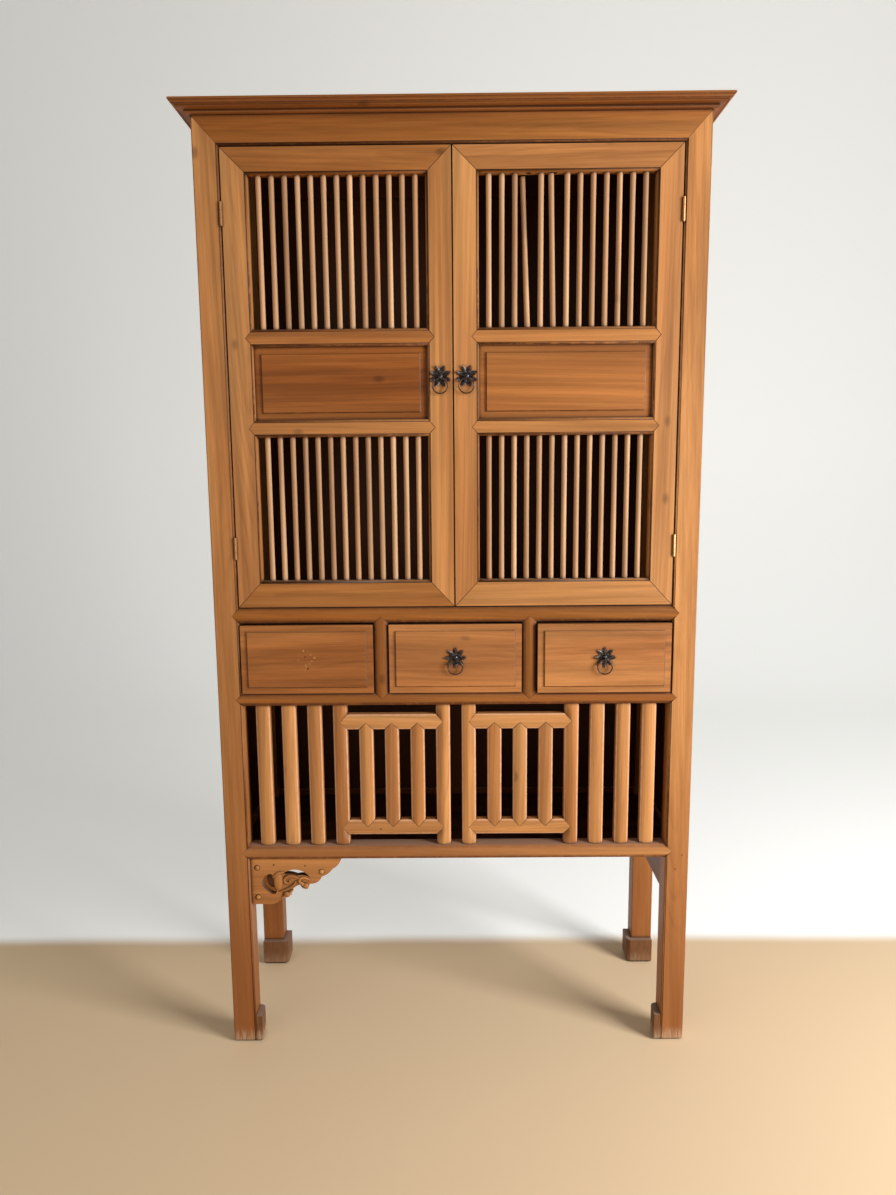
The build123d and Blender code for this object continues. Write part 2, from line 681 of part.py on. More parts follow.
for side, door_name in ((LEFT, "left_door"), (RIGHT, "right_door")):
    middle_x = side * door_middle_x
    half_height = door_height / 2
    half_width = door_width / 2
    half_frame = door_frame_width / 2
    door_middle_z = door_z + half_height

    stiles = []
    for edge in (-1, 1):
        stile_face = face_plane(
            middle_x + edge * (half_width - half_frame), front_y, door_middle_z, (0, 0, 1), (0, -1, 0)
        )
        outline = [
            (-half_height, -edge * half_frame),
            (half_height, -edge * half_frame),
            (half_height - door_frame_width, edge * half_frame),
            (-half_height + door_bottom_rail, edge * half_frame),
        ]
        stiles.append(
            beaded_bar(stile_face, door_height, door_frame_width, door_thickness, (edge,), outline)
        )

    end_rails = []
    for edge, rail_height in ((1, door_frame_width), (-1, door_bottom_rail)):
        rail_face = face_plane(
            middle_x, front_y, door_middle_z + edge * (half_height - rail_height / 2), (1, 0, 0), (0, -1, 0)
        )
        outline = [
            (-half_width, edge * rail_height / 2),
            (half_width, edge * rail_height / 2),
            (half_width - door_frame_width, -edge * rail_height / 2),
            (-half_width + door_frame_width, -edge * rail_height / 2),
        ]
        end_rails.append(beaded_bar(rail_face, door_width, rail_height, door_thickness, (-edge,), outline))

    mid_rails = []
    mid_sockets = []
    for low_z in (lower_mid_z, upper_mid_z):
        rail_face = face_plane(middle_x, front_y, low_z + door_mid_rail / 2, (1, 0, 0), (0, -1, 0))
        outline = pointed(door_inside_width, door_mid_rail, door_tip)
        rail_blank = beaded_bar(
            rail_face, door_inside_width + 2 * door_tip, door_mid_rail, door_thickness, (-1, 1), outline
        )
        with BuildPart() as mid_rail:
            add(rail_blank)
            with BuildSketch(rail_face.offset(-mitre_depth)):
                tip_x = door_inside_width / 2 + door_tip
                with Locations((-tip_x, 0), (tip_x, 0)):
                    Rectangle(2 * door_tip, door_mid_rail)
            extrude(amount=-door_thickness, mode=Mode.SUBTRACT)
            with BuildSketch(rail_face.offset(-mitre_depth)):
                Rectangle(door_inside_width + 2 * tenon_length, mid_tenon_width)
            extrude(amount=-tenon_thickness)
        mid_rails.append(mid_rail.part)
        mid_sockets.append(
            bar_socket(rail_face, door_inside_width, door_mid_rail, door_tip, tenon_length, mid_tenon_width)
        )

    panel_half = door_inside_width / 2 + groove_depth
    field_y = front_y + panel_field_setback
    board_y = field_y + panel_field_rise
    board = block(
        (middle_x - panel_half, middle_x + panel_half),
        (board_y, board_y + door_board_thickness),
        (door_panel_z - groove_depth, upper_mid_z + groove_depth),
    )
    field_width = door_inside_width - 2 * panel_field_inset
    field_height = door_panel_height - 2 * panel_field_inset
    field_middle_z = door_panel_z + door_panel_height / 2
    with BuildPart() as panel:
        add(board)
        with BuildSketch(face_plane(middle_x, board_y, field_middle_z, (1, 0, 0), (0, -1, 0))):
            Rectangle(field_width, field_height)
        with BuildSketch(face_plane(middle_x, field_y, field_middle_z, (1, 0, 0), (0, -1, 0))):
            Rectangle(field_width - 2 * field_bevel, field_height - 2 * field_bevel)
        loft()

    dowels = []
    sockets = []
    for low_z, high_z in ((grille_z, lower_mid_z), (upper_grille_z, upper_grille_top)):
        for place in range(dowel_count):
            x = middle_x + (place - (dowel_count - 1) / 2) * dowel_pitch
            foot = (x, dowel_axis_y, low_z - socket_depth)
            top = (x, dowel_axis_y, high_z + socket_depth)
            sockets.append(dowel(foot, top, dowel_radius + socket_clearance))
            if side == RIGHT and low_z == upper_grille_z and place in loose_dowels:
                lean_x, lean_y = loose_dowels[place]
                top = (x + lean_x, dowel_axis_y + lean_y, high_z - leaning_end_gap)
                sockets.append(dowel(foot, top, dowel_radius + socket_clearance))
            dowels.append(dowel(foot, top, dowel_radius))

    outer_stile = stiles[0] if side == LEFT else stiles[1]
    inner_stile = stiles[1] if side == LEFT else stiles[0]
    hung_stile = cut(outer_stile, *mid_sockets, board, *hinge_notches[side], *leaf_recesses[side])
    save(f"{door_name}_stiles", hung_stile, cut(inner_stile, *mid_sockets, board))
    save(f"{door_name}_end_rails", *[cut(rail, *sockets) for rail in end_rails])
    save(f"{door_name}_mid_rails", *[cut(rail, board, *sockets) for rail in mid_rails])
    save(f"{door_name}_panel", panel.part)
    save(f"{door_name}_dowels", *dowels)
    save(f"{door_name}_hinge_leaves", *door_leaves[side])

# ================================================================ pulls
def rosette(x, y, z, turn):
    """A star plate, turned by so many degrees, with a boss and a pierced eye that carries the ring."""
    face = face_plane(x, y, z, (1, 0, 0), (0, -1, 0))
    side_view = Plane(origin=(x, y, z), x_dir=(0, -1, 0), z_dir=(-1, 0, 0))
    with BuildPart() as plate:
        with BuildSketch(face):
            with BuildLine():
                points = []
                for point in range(2 * rosette_petals):
                    radius = rosette_waist if point % 2 else rosette_radius
                    points.append(Vector(0, radius).rotate(Axis.Z, turn + 180 * point / rosette_petals))
                Polyline(*points, close=True)
            make_face()
        extrude(amount=rosette_thickness)
        with BuildSketch(face):
            RegularPolygon(boss_radius, rosette_petals)
        with BuildSketch(face.offset(boss_height)):
            RegularPolygon(boss_radius - boss_taper, rosette_petals)
        loft()
        with BuildSketch(side_view):
            with Locations((eye_stand, -eye_drop)):
                RegularPolygon(eye_radius, eye_flats)
            with Locations((boss_height / 2, 0)):
                Rectangle(boss_height, boss_radius)
            make_hull()
            with Locations((eye_stand, -eye_drop)):
                RegularPolygon(eye_hole, eye_flats, major_radius=False, mode=Mode.SUBTRACT)
        extrude(amount=eye_width / 2, both=True)
    return plate.part


def pull_ring(x, y, z):
    """A wire ring hanging from the eye of the rosette at x, y, z."""
    middle = Vector(x, y - eye_stand, z - eye_drop - ring_radius)
    with BuildPart() as ring:
        with BuildLine() as circuit:
            spoke = Vector(0, 0, ring_radius).rotate(Axis.Y, 180 / ring_sides)
            turns = [360 * corner / ring_sides for corner in range(ring_sides)]
            Polyline(*[middle + spoke.rotate(Axis.Y, turn) for turn in turns], close=True)
        first = circuit.edges()[0]
        with BuildSketch(Plane(origin=first @ 0.5, x_dir=(0, 1, 0), z_dir=first % 0.5)):
            RegularPolygon(ring_wire, ring_flats)
        sweep(path=circuit.wires()[0], transition=Transition.RIGHT)
    return ring.part


pull_z = door_z + door_pull_height
drawer_front_height = drawer_opening_height - drawer_bottom_gap - drawer_top_gap
drawer_pull_z = drawer_floor_z + drawer_front_height / 2 + drawer_pull_rise
drawer_pitch = drawer_width + divider_width
stile_middle_x = door_meeting_gap / 2 + door_frame_width / 2
half_petal = 180 / rosette_petals
for side, door_name in ((LEFT, "left_door"), (RIGHT, "right_door")):
    save(f"{door_name}_rosette", rosette(side * stile_middle_x, front_y, pull_z, half_petal))
    save(f"{door_name}_ring", pull_ring(side * stile_middle_x, front_y, pull_z))

# ================================================================ drawers
for drawer_name, place, pulled_out in (
    ("left_drawer", -1, 0.0),
    ("middle_drawer", 0, 0.0),
    ("right_drawer", 1, right_drawer_pull_out),
):
    middle_x = place * drawer_pitch
    half_width = drawer_width / 2 - drawer_side_gap
    border_y = front_y - drawer_front_proud - pulled_out
    front_back_y = border_y + drawer_front_thickness
    box_back_y = border_y + drawer_depth
    front_middle_z = drawer_floor_z + drawer_front_height / 2
    wall_z = (drawer_floor_z, drawer_floor_z + drawer_wall_height)
    base_z = drawer_floor_z + drawer_base_rise
    inside_half = half_width - drawer_wall
    base_half = inside_half + drawer_base_groove
    walls = [
        block(
            sorted((middle_x + side * inside_half, middle_x + side * half_width)),
            (front_back_y - drawer_lap, box_back_y),
            wall_z,
        )
        for side in (LEFT, RIGHT)
    ]
    base = block(
        (middle_x - base_half, middle_x + base_half),
        (front_back_y - drawer_base_groove, box_back_y),
        (base_z, base_z + drawer_base),
    )
    back_wall = block(
        (middle_x - base_half, middle_x + base_half),
        (box_back_y - 2 * drawer_wall, box_back_y - drawer_wall),
        (base_z + drawer_base, wall_z[1]),
    )
    field_width = 2 * (half_width - drawer_field_inset)
    field_height = drawer_front_height - 2 * drawer_field_inset
    with BuildPart() as drawer_front:
        add(
            block(
                (middle_x - half_width, middle_x + half_width),
                (border_y, front_back_y),
                (drawer_floor_z, drawer_floor_z + drawer_front_height),
            )
        )
        with BuildSketch(face_plane(middle_x, border_y, front_middle_z, (1, 0, 0), (0, -1, 0))):
            Rectangle(field_width, field_height)
        field_face_y = border_y - drawer_field_rise
        with BuildSketch(face_plane(middle_x, field_face_y, front_middle_z, (1, 0, 0), (0, -1, 0))):
            Rectangle(field_width - 2 * drawer_field_bevel, field_height - 2 * drawer_field_bevel)
        loft()
    save(f"{drawer_name}_front", cut(drawer_front.part, *walls, base))
    save(f"{drawer_name}_box", *[cut(wall, base, back_wall) for wall in walls], base, back_wall)
    if place >= 0:
        save(f"{drawer_name}_rosette", rosette(middle_x, field_face_y, drawer_pull_z, 0))
        save(f"{drawer_name}_ring", pull_ring(middle_x, field_face_y, drawer_pull_z))

# ================================================================ posts
def post(x_side, y_side):
    """A post with an eased outer edge and a hoof foot; the front ones carry a bead on the inner edge."""
    outer_y = front_y if y_side == FRONT else back_y
    hoof_width = post_width + hoof_reach
    hoof_depth = post_depth + (hoof_reach if y_side == BACK else 0)
    with BuildPart() as whole:
        for level, inset in ((0, sole_chamfer), (sole_chamfer, 0)):
            with BuildSketch(Plane.XY.offset(level)) as outline:
                with Locations((x_side * (outer_x - hoof_width / 2), outer_y - y_side * hoof_depth / 2)):
                    Rectangle(hoof_width - 2 * inset, hoof_depth - 2 * inset)
                fillet(outline.vertices().sort_by_distance((0, 0, 0))[-1], post_round)
                fillet(outline.vertices().sort_by_distance((0, 0, 0))[0], hoof_round - inset)
        loft()
        extrude(whole.faces().sort_by(Axis.Z)[-1], amount=hoof_height - sole_chamfer)
        with BuildSketch(Plane.XY.offset(hoof_height)) as outline:
            with Locations((x_side * (outer_x - post_width / 2), outer_y - y_side * post_depth / 2)):
                Rectangle(post_width, post_depth)
            fillet(outline.vertices().sort_by_distance((0, 0, 0))[-1], post_round)
        extrude(amount=case_top_z - hoof_height)
        if y_side == FRONT:
            edge_x = x_side * inner_x
            quirk_x = x_side * (inner_x + bead_width)
            crest = (x_side * (inner_x + bead_width / 2), front_y + bead_crown)
            sunk_y = front_y + bead_sink
            with BuildSketch(Plane.XY):
                with BuildLine():
                    Polyline((quirk_x, sunk_y), (quirk_x, front_y), (edge_x, front_y), (edge_x, sunk_y))
                    ThreePointArc((edge_x, sunk_y), crest, (quirk_x, sunk_y))
                make_face()
            extrude(amount=case_top_z, mode=Mode.SUBTRACT)
    return whole.part


for x_side, x_name in ((LEFT, "left"), (RIGHT, "right")):
    front_post = cut(
        post(x_side, FRONT),
        frieze_socket.part,
        *front_sockets,
        *side_sockets[x_side],
        *side_panels[x_side],
        *hinge_notches[x_side],
        *leaf_recesses[x_side],
    )
    back_post = cut(
        post(x_side, BACK), *back_sockets, *side_sockets[x_side], *side_panels[x_side], *back_panels
    )
    save(f"front_{x_name}_post", front_post)
    save(f"back_{x_name}_post", back_post)

# ================================================================ rails, panels and boards
save("frieze_rail", frieze_rail.part)
save("lower_front_rail", cut(front_rails["lower_front_rail"], lower_floor, *long_sockets))
save("middle_front_rail", cut(front_rails["middle_front_rail"], *long_sockets, *divider_sockets))
save("upper_front_rail", cut(front_rails["upper_front_rail"], cupboard_floor, *divider_sockets))
boards = (lower_floor, cupboard_floor)
for side, side_name in ((LEFT, "left"), (RIGHT, "right")):
    save(f"{side_name}_side_rails", *[cut(rail, *side_panels[side], *boards) for rail in side_rails[side]])
    save(f"{side_name}_side_panels", *side_panels[side])
save("back_rails", *[cut(rail, *back_panels, *boards) for rail in back_rails])
save("back_muntins", *muntins)
save("back_panels", *back_panels)
save("lower_floor", lower_floor)
save("cupboard_floor", cupboard_floor)
save("cupboard_shelf", shelf)
save("shelf_bearers", *bearers)
save("drawer_dividers", *dividers)
save("drawer_runners", *runners)

stop_y = front_y + frieze_depth
save(
    "door_stop",
    block(
        (-stop_length / 2, stop_length / 2),
        (stop_y, stop_y + stop_thickness),
        (frieze_z - stop_lap, frieze_z - stop_lap + stop_height),
    ),
)

# ================================================================ top frame with its cornice moulding
def cornice_edge(edge, outward):
    """The moulding's outline from the top edge down to the case, at the face of the posts."""
    ovolo_width, ovolo_height = cornice_ovolo
    lip = (cornice_overhang, top_frame_thickness - cornice_lip)
    fillet_top = (lip[0] - ovolo_width, lip[1] - ovolo_height)
    fillet_foot = (fillet_top[0], fillet_top[1] - cornice_fillet)
    hollow_top = (fillet_foot[0] - cornice_step, fillet_foot[1] - cornice_foot_rise)
    hollow_foot = (cornice_foot, cornice_foot_rise)
    ovolo_middle = (fillet_top[0] + 0.8 * ovolo_width, fillet_top[1] + 0.3 * ovolo_height)
    hollow_middle = (
        hollow_foot[0] + 0.35 * (hollow_top[0] - hollow_foot[0]),
        hollow_foot[1] + 0.65 * (hollow_top[1] - hollow_foot[1]),
    )
    points = ((cornice_overhang, top_frame_thickness), lip, ovolo_middle, fillet_top, fillet_foot, hollow_top)
    points += (hollow_middle, hollow_foot, (0, 0))
    return [(edge + outward * x, case_top_z + z) for x, z in points]


def moulded_section(profile, rest):
    """A closed section whose moulded edge follows profile and whose other corners are rest."""
    with BuildLine() as outline:
        top, lip, ovolo_middle, fillet_top, fillet_foot, *hollow, base = profile
        hollow_top, hollow_middle, hollow_foot = hollow
        Line(top, lip)
        ThreePointArc(lip, ovolo_middle, fillet_top)
        Polyline(fillet_top, fillet_foot, hollow_top)
        ThreePointArc(hollow_top, hollow_middle, hollow_foot)
        Line(hollow_foot, base)
        Polyline(base, *rest, top)
    return outline.line


frame_half_x = outer_x + cornice_overhang
frame_front_y = front_y - cornice_overhang
frame_top_z = case_top_z + top_frame_thickness
panel_half_x = frame_half_x - top_frame_width
panel_front_y = frame_front_y + top_frame_width
panel_back_y = back_y - top_frame_width
end_sections = []
for side in (LEFT, RIGHT):
    with BuildPart() as end_slab:
        with BuildSketch(Plane.XZ.offset(-back_y)):
            with BuildLine():
                add(moulded_section(cornice_edge(side * outer_x, side), ((0, case_top_z), (0, frame_top_z))))
            make_face()
        extrude(amount=back_y - frame_front_y)
    end_sections.append(end_slab.part)
with BuildPart() as front_slab:
    with BuildSketch(Plane.YZ):
        with BuildLine():
            add(moulded_section(cornice_edge(front_y, -1), ((back_y, case_top_z), (back_y, frame_top_z))))
        make_face()
    extrude(amount=frame_half_x, both=True)
with BuildPart() as top_slab:
    add(end_sections)
    add(front_slab.part, mode=Mode.INTERSECT)

top_panel_z = frame_top_z - top_panel_recess - top_panel_thickness
top_panel = block(
    (-panel_half_x - groove_depth, panel_half_x + groove_depth),
    (panel_front_y - groove_depth, panel_back_y + groove_depth),
    (top_panel_z, top_panel_z + top_panel_thickness),
)


def frame_member(*outlines):
    """Members of the mitred frame, cut from the moulded slab along their outlines in plan."""
    with BuildPart() as members:
        for outline in outlines:
            with BuildSketch(Plane.XY.offset(case_top_z)):
                Polygon(*outline, align=None)
            extrude(amount=top_frame_thickness)
        add(top_slab.part, mode=Mode.INTERSECT)
        add(top_panel, mode=Mode.SUBTRACT)
    return members.part


save(
    "top_frame_front",
    frame_member(
        [
            (-frame_half_x, frame_front_y),
            (frame_half_x, frame_front_y),
            (panel_half_x, panel_front_y),
            (-panel_half_x, panel_front_y),
        ]
    ),
)
save(
    "top_frame_back",
    frame_member(
        [
            (-frame_half_x, back_y),
            (frame_half_x, back_y),
            (panel_half_x, panel_back_y),
            (-panel_half_x, panel_back_y),
        ]
    ),
)
save(
    "top_frame_ends",
    frame_member(
        *[
            [
                (side * frame_half_x, frame_front_y),
                (side * frame_half_x, back_y),
                (side * panel_half_x, panel_back_y),
                (side * panel_half_x, panel_front_y),
            ]
            for side in (LEFT, RIGHT)
        ]
    ),
)
save("top_panel", top_panel)

# ================================================================ carved spandrel and side aprons
def on_spandrel(u, v):
    """A point of the carving: u along the rail and v down the post, as shares of its length and drop."""
    return u * spandrel_length, -v * spandrel_drop


spandrel_face = face_plane(-inner_x, front_y + spandrel_setback, leg_height, (1, 0, 0), (0, -1, 0))
scroll_radius = spandrel_length / 27.5
with BuildPart() as spandrel:
    with BuildSketch(spandrel_face):
        with BuildLine():
            Line(on_spandrel(0, 0), on_spandrel(1, 0))
            ThreePointArc(on_spandrel(1, 0), on_spandrel(0.966, 0.140), on_spandrel(0.900, 0.240))
            ThreePointArc(on_spandrel(0.900, 0.240), on_spandrel(0.850, 0.340), on_spandrel(0.777, 0.413))
            ThreePointArc(on_spandrel(0.777, 0.413), on_spandrel(0.737, 0.515), on_spandrel(0.656, 0.563))
            Line(on_spandrel(0.656, 0.563), on_spandrel(0.540, 0.580))
            ThreePointArc(on_spandrel(0.540, 0.580), on_spandrel(0.485, 0.625), on_spandrel(0.437, 0.715))
            Line(on_spandrel(0.437, 0.715), on_spandrel(0.344, 0.850))
            ThreePointArc(on_spandrel(0.344, 0.850), on_spandrel(0.300, 0.940), on_spandrel(0.225, 1))
            Polyline(on_spandrel(0.225, 1), on_spandrel(0.041, 1), on_spandrel(0, 0.970), on_spandrel(0, 0))
        make_face()
        with Locations(on_spandrel(0.598, 0.602), on_spandrel(0.390, 0.786)):
            Circle(scroll_radius)
        with BuildLine():
            bean = [(0.215, 0.345), (0.148, 0.406), (0.118, 0.551), (0.171, 0.705)]
            bean += [(0.262, 0.775), (0.283, 0.690), (0.262, 0.560), (0.243, 0.420)]
            Spline(*[on_spandrel(u, v) for u, v in bean], periodic=True)
        make_face(mode=Mode.SUBTRACT)
        with BuildLine():
            ThreePointArc(on_spandrel(0.352, 0.345), on_spandrel(0.478, 0.255), on_spandrel(0.650, 0.430))
            ThreePointArc(on_spandrel(0.650, 0.430), on_spandrel(0.582, 0.378), on_spandrel(0.508, 0.390))
            ThreePointArc(on_spandrel(0.508, 0.390), on_spandrel(0.436, 0.350), on_spandrel(0.352, 0.345))
        make_face(mode=Mode.SUBTRACT)
    extrude(amount=-spandrel_thickness)
save("carved_spandrel", spandrel.part)

with BuildPart() as pegs:
    with BuildSketch(spandrel_face):
        with Locations(on_spandrel(0.075, 0.208), on_spandrel(0.073, 0.843), on_spandrel(0.778, 0.300)):
            RegularPolygon(peg_radius, peg_flats)
    extrude(amount=peg_height)
    chamfer(pegs.faces().group_by(Axis.Y)[0].edges(), peg_height / 2)
save("spandrel_pegs", pegs.part)

aprons = []
for side in (LEFT, RIGHT):
    with BuildPart() as apron:
        with BuildSketch(Plane.YZ.offset(side * (outer_x - apron_setback))):
            with Locations((side_middle_y, leg_height - apron_end_height / 2)):
                Rectangle(side_span, apron_end_height)
            with Locations((side_middle_y, leg_height - (apron_height + apron_end_height) / 2)):
                Rectangle(side_span - 2 * apron_curve, apron_end_height - apron_height, mode=Mode.SUBTRACT)
            foot_y = side_span / 2 - apron_curve
            with Locations(
                (side_middle_y - foot_y, leg_height - apron_end_height),
                (side_middle_y + foot_y, leg_height - apron_end_height),
            ):
                Ellipse(apron_curve, apron_end_height - apron_height, mode=Mode.SUBTRACT)
        extrude(amount=-side * apron_thickness)
    aprons.append(apron.part)
save("side_aprons", *aprons)
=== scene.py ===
"""Chinese book cabinet: waxed elm, turned dowels, iron pulls and small brass hinges."""

import math
import random

import bmesh
import bpy
from bpy.props import FloatProperty, FloatVectorProperty, IntProperty, PointerProperty
from mathutils import Matrix, Vector


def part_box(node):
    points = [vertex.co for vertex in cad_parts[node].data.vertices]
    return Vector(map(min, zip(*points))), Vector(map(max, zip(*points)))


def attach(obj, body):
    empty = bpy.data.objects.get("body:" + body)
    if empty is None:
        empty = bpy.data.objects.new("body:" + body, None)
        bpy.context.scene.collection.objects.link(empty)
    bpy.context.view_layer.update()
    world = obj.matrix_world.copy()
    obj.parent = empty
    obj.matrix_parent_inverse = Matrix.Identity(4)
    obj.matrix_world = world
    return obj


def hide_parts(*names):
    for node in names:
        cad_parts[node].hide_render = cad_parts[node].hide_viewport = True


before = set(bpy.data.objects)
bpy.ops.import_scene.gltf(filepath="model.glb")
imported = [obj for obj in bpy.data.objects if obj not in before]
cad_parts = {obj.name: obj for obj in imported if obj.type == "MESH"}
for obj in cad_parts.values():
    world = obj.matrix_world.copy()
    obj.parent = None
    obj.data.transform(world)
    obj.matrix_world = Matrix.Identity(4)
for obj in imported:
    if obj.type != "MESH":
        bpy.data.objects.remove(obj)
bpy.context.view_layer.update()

bl_info = {
    "name": "Chinese book cabinet",
    "version": (1, 0, 0),
    "blender": (4, 5, 0),
    "location": "View3D > Sidebar > Cabinet",
    "description": "Dresses the cabinet's frame with waxed elm, iron pulls and brass hinges",
    "category": "Object",
}

MILLIMETRE = 0.001
SAME_PLACE = 1e-6
FLAT_WITHIN = math.radians(0.3)
EASED_FROM = math.radians(24)
QUARTER_TURN = math.radians(90)
# Rings stand before their carriers, because a node's name is matched from its start.
RIDERS = (
    "left_door_ring", "right_door_ring", "middle_drawer_ring", "right_drawer_ring",
    "left_door", "right_door", "left_drawer", "middle_drawer", "right_drawer",
)
# The way in which the unfinished faces of these nodes look; they are painted dark, as unfinished wood and as
# painted shade inside the case.
FACING_IN = {
    "left_side_panels": (1, 0, 0), "left_side_rails": (1, 0, 0),
    "right_side_panels": (-1, 0, 0), "right_side_rails": (-1, 0, 0),
    "back_panels": (0, -1, 0), "back_rails": (0, -1, 0), "back_muntins": (0, -1, 0),
    "top_panel": (0, 0, -1),
}
# Places in metres where a mask begins and where it is full.
BETWEEN_POSTS = (0.4368, 0.4362)
BEHIND_DOORS = (-0.128, -0.124)
BEFORE_BACK = (0.19, 0.186)
OVER_FLOOR = (0.452, 0.456)
HOOF_SIDE = (0.4364, 0.4358)
HOOF_BACK = (0.1504, 0.1496)
HOOF_TOP = (0.064, 0.0595)
LEG_SHADE = (0.95, 0.05)
# Stretch of the wood's noises, along the grain and across it.
SLOW = (0.1, 1, 1)
BAND = (0.6, 42, 42)
STREAK = (2.6, 150, 150)
PORES = (30, 900, 900)
FLAME = (7, 30, 30)
KNOTS = (6, 10, 10)
SCRATCHES = (260, 260, 26)


# ---------------------------------------------------------------- settings
def srgb(red, green, blue):
    """A colour named in steps of 0 to 255, as linear light."""
    def linear(step):
        share = step / 255
        return share / 12.92 if share <= 0.04045 else ((share + 0.055) / 1.055) ** 2.4
    return linear(red), linear(green), linear(blue), 1.0


# Pale dust, and painted highlight, on faces that turn up.
DUST_AND_TOP_LIGHT = srgb(178, 150, 132)
# Painted shade on rounded faces that turn away, strongest where they turn down.
PAINTED_FLANK_SHADE = srgb(80, 42, 22)
PALE_EDGE = srgb(218, 170, 134)
SCRATCH = srgb(222, 170, 116)
SCAR = srgb(136, 80, 40)
DOWEL_SHADE = srgb(176, 130, 92)
# Painted shade inside the nail holes, darker and lighter.
HOLE_SHADE_COLOURS = srgb(26, 13, 6), srgb(58, 30, 14)
ROOM_TINT = (1.0, 0.975, 0.94, 1)


def colour(name, description, *steps):
    """A colour setting."""
    return FloatVectorProperty(
        name=name, description=description, default=srgb(*steps), subtype="COLOR", size=4, min=0, max=1
    )


def length(name, description, millimetres):
    """A length setting."""
    return FloatProperty(
        name=name, description=description, default=millimetres * MILLIMETRE, min=0, unit="LENGTH",
        precision=4,
    )


def share(name, description, default):
    """A setting between nothing and all."""
    return FloatProperty(name=name, description=description, default=default, min=0, max=1, subtype="FACTOR")


def amount(name, description, default, unit="NONE", least=0):
    """A plain number setting."""
    return FloatProperty(name=name, description=description, default=default, min=least, unit=unit)


class CabinetTimber(bpy.types.PropertyGroup):
    """The waxed elm and its wear"""

    honey: colour("Honey", "Light wood between the rings", 200, 138, 78)
    chestnut: colour("Chestnut", "Darker patches of the frame's wood", 172, 108, 54)
    panel_honey: colour("Panel honey", "Light wood of the panels and drawer fronts", 186, 120, 62)
    panel_chestnut: colour("Panel chestnut", "Darker patches of the panels", 156, 92, 42)
    ring_line: colour("Ring line", "Dark edge of each year's growth", 128, 70, 30)
    dowel_tan: colour("Dowel tan", "Turned dowels, less waxed than the frame", 204, 160, 118)
    raw: colour("Raw wood", "Unfinished wood inside the case", 92, 54, 28)
    # Also painted shade on faces inside the case, on the aprons' inner faces and in the carving's cuts.
    raw_dark_and_shade: colour("Raw wood, dark", "Dark streaks of the wood inside", 74, 38, 17)
    # Old wax and dust in the joints, and painted shade in corners, hollows and round raised fields.
    grime: colour("Grime", "Old wax and dust in the joints", 52, 27, 12)
    rubbed: colour("Rubbed edge", "Arrises worn pale", 222, 164, 108)
    foot_wear: colour("Worn foot", "Wood bleached and scuffed near the floor", 184, 152, 122)
    hoof_grey: colour("Hoof", "Greyed wood of the hoofs", 98, 68, 44)
    ring_gap: length("Ring gap", "Width of one year's growth", 3.6)
    arris: length("Arris", "Softening of the frame's edges", 0.9)
    fine_arris: length("Fine arris", "Softening of small pieces' edges", 0.45)
    # How far the joint colour and the painted shade spread from a corner.
    grime_reach: length("Grime reach", "How far grime spreads from a joint", 9)
    sheen: share("Wax roughness", "Roughness of the waxed faces", 0.42)


class CabinetIronwork(bpy.types.PropertyGroup):
    """Pulls and hinges"""

    iron: colour("Iron", "Blackened iron", 44, 44, 46)
    bright_iron: colour("Bright iron", "Iron rubbed bright", 112, 110, 110)
    rust: colour("Rust", "Rusty brown on the petals' tips", 104, 64, 40)
    brass: colour("Brass", "Dull brass of the hinges", 186, 136, 92)
    tarnish: colour("Tarnish", "Dark tarnish on the hinges", 66, 42, 26)
    petals: IntProperty(name="Petals", description="Petals of a rosette", default=8, min=4, max=12)
    petal_reach: length("Petal reach", "Petal's tip from the rosette's middle", 21)
    petal_root: length("Petal root", "Petal's root from the rosette's middle", 4)
    petal_width: length("Petal width", "Widest part of a petal", 9)
    petal_gauge: length("Petal gauge", "Thickness of the sheet", 1.1)
    petal_lift: length("Petal lift", "How far a petal's tip curls forwards", 4.6)
    boss_radius: length("Boss radius", "Dome in the rosette's middle", 6)
    boss_height: length("Boss height", "Height of the dome", 5)
    eye_drop: length("Eye drop", "Ring's pivot under the middle of the rosette", 4)
    eye_stand: length("Eye stand", "Ring's pivot in front of the face", 7)
    eye_radius: length("Eye radius", "Middle line of the eye that holds the ring", 2.7)
    eye_gauge: length("Eye gauge", "Half thickness of the eye", 0.9)
    ring_radius: length("Ring radius", "Middle line of the ring", 14.5)
    ring_wire: length("Ring wire", "Half thickness of the ring", 1.4)


class CabinetStudio(bpy.types.PropertyGroup):
    """Floor, backdrop, lamps and camera"""

    floor: colour("Floor", "Pale floor", 238, 210, 170)
    wall: colour("Backdrop", "Pale backdrop", 238, 239, 236)
    window_power: amount("Window lamp", "Large soft lamp on the right", 107, "POWER")
    fill_power: amount("Fill lamp", "Weak soft lamp in front", 13, "POWER")
    room_light: amount("Room light", "Light from all round", 0.27)
    wall_glow: amount("Backdrop glow", "How far the backdrop is lifted to white", 0.5)
    lens: amount("Lens", "Focal length of the camera", 26.295, "CAMERA", 1)


# ---------------------------------------------------------------- mesh helpers
def rider(node):
    """The body that a node moves with."""
    return next((body for body in RIDERS if node.startswith(body)), "case")


def place(bm, name, finish, smooth_below=38.0, even=True):
    """Turns a finished bmesh into a piece of the scene."""
    mesh = bpy.data.meshes.new(name)
    bm.to_mesh(mesh)
    bm.free()
    mesh.shade_smooth()
    mesh.set_sharp_from_angle(angle=math.radians(smooth_below))
    mesh.materials.append(finish)
    piece = bpy.data.objects.new(name, mesh)
    bpy.context.scene.collection.objects.link(piece)
    if even:
        normals = piece.modifiers.new("Even faces", "WEIGHTED_NORMAL")
        normals.keep_sharp = True
    return piece


def stand_in(piece, slot, *nodes):
    """Lets a piece stand for its nodes and ride with them."""
    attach(piece, rider(nodes[0]))
    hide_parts(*nodes)


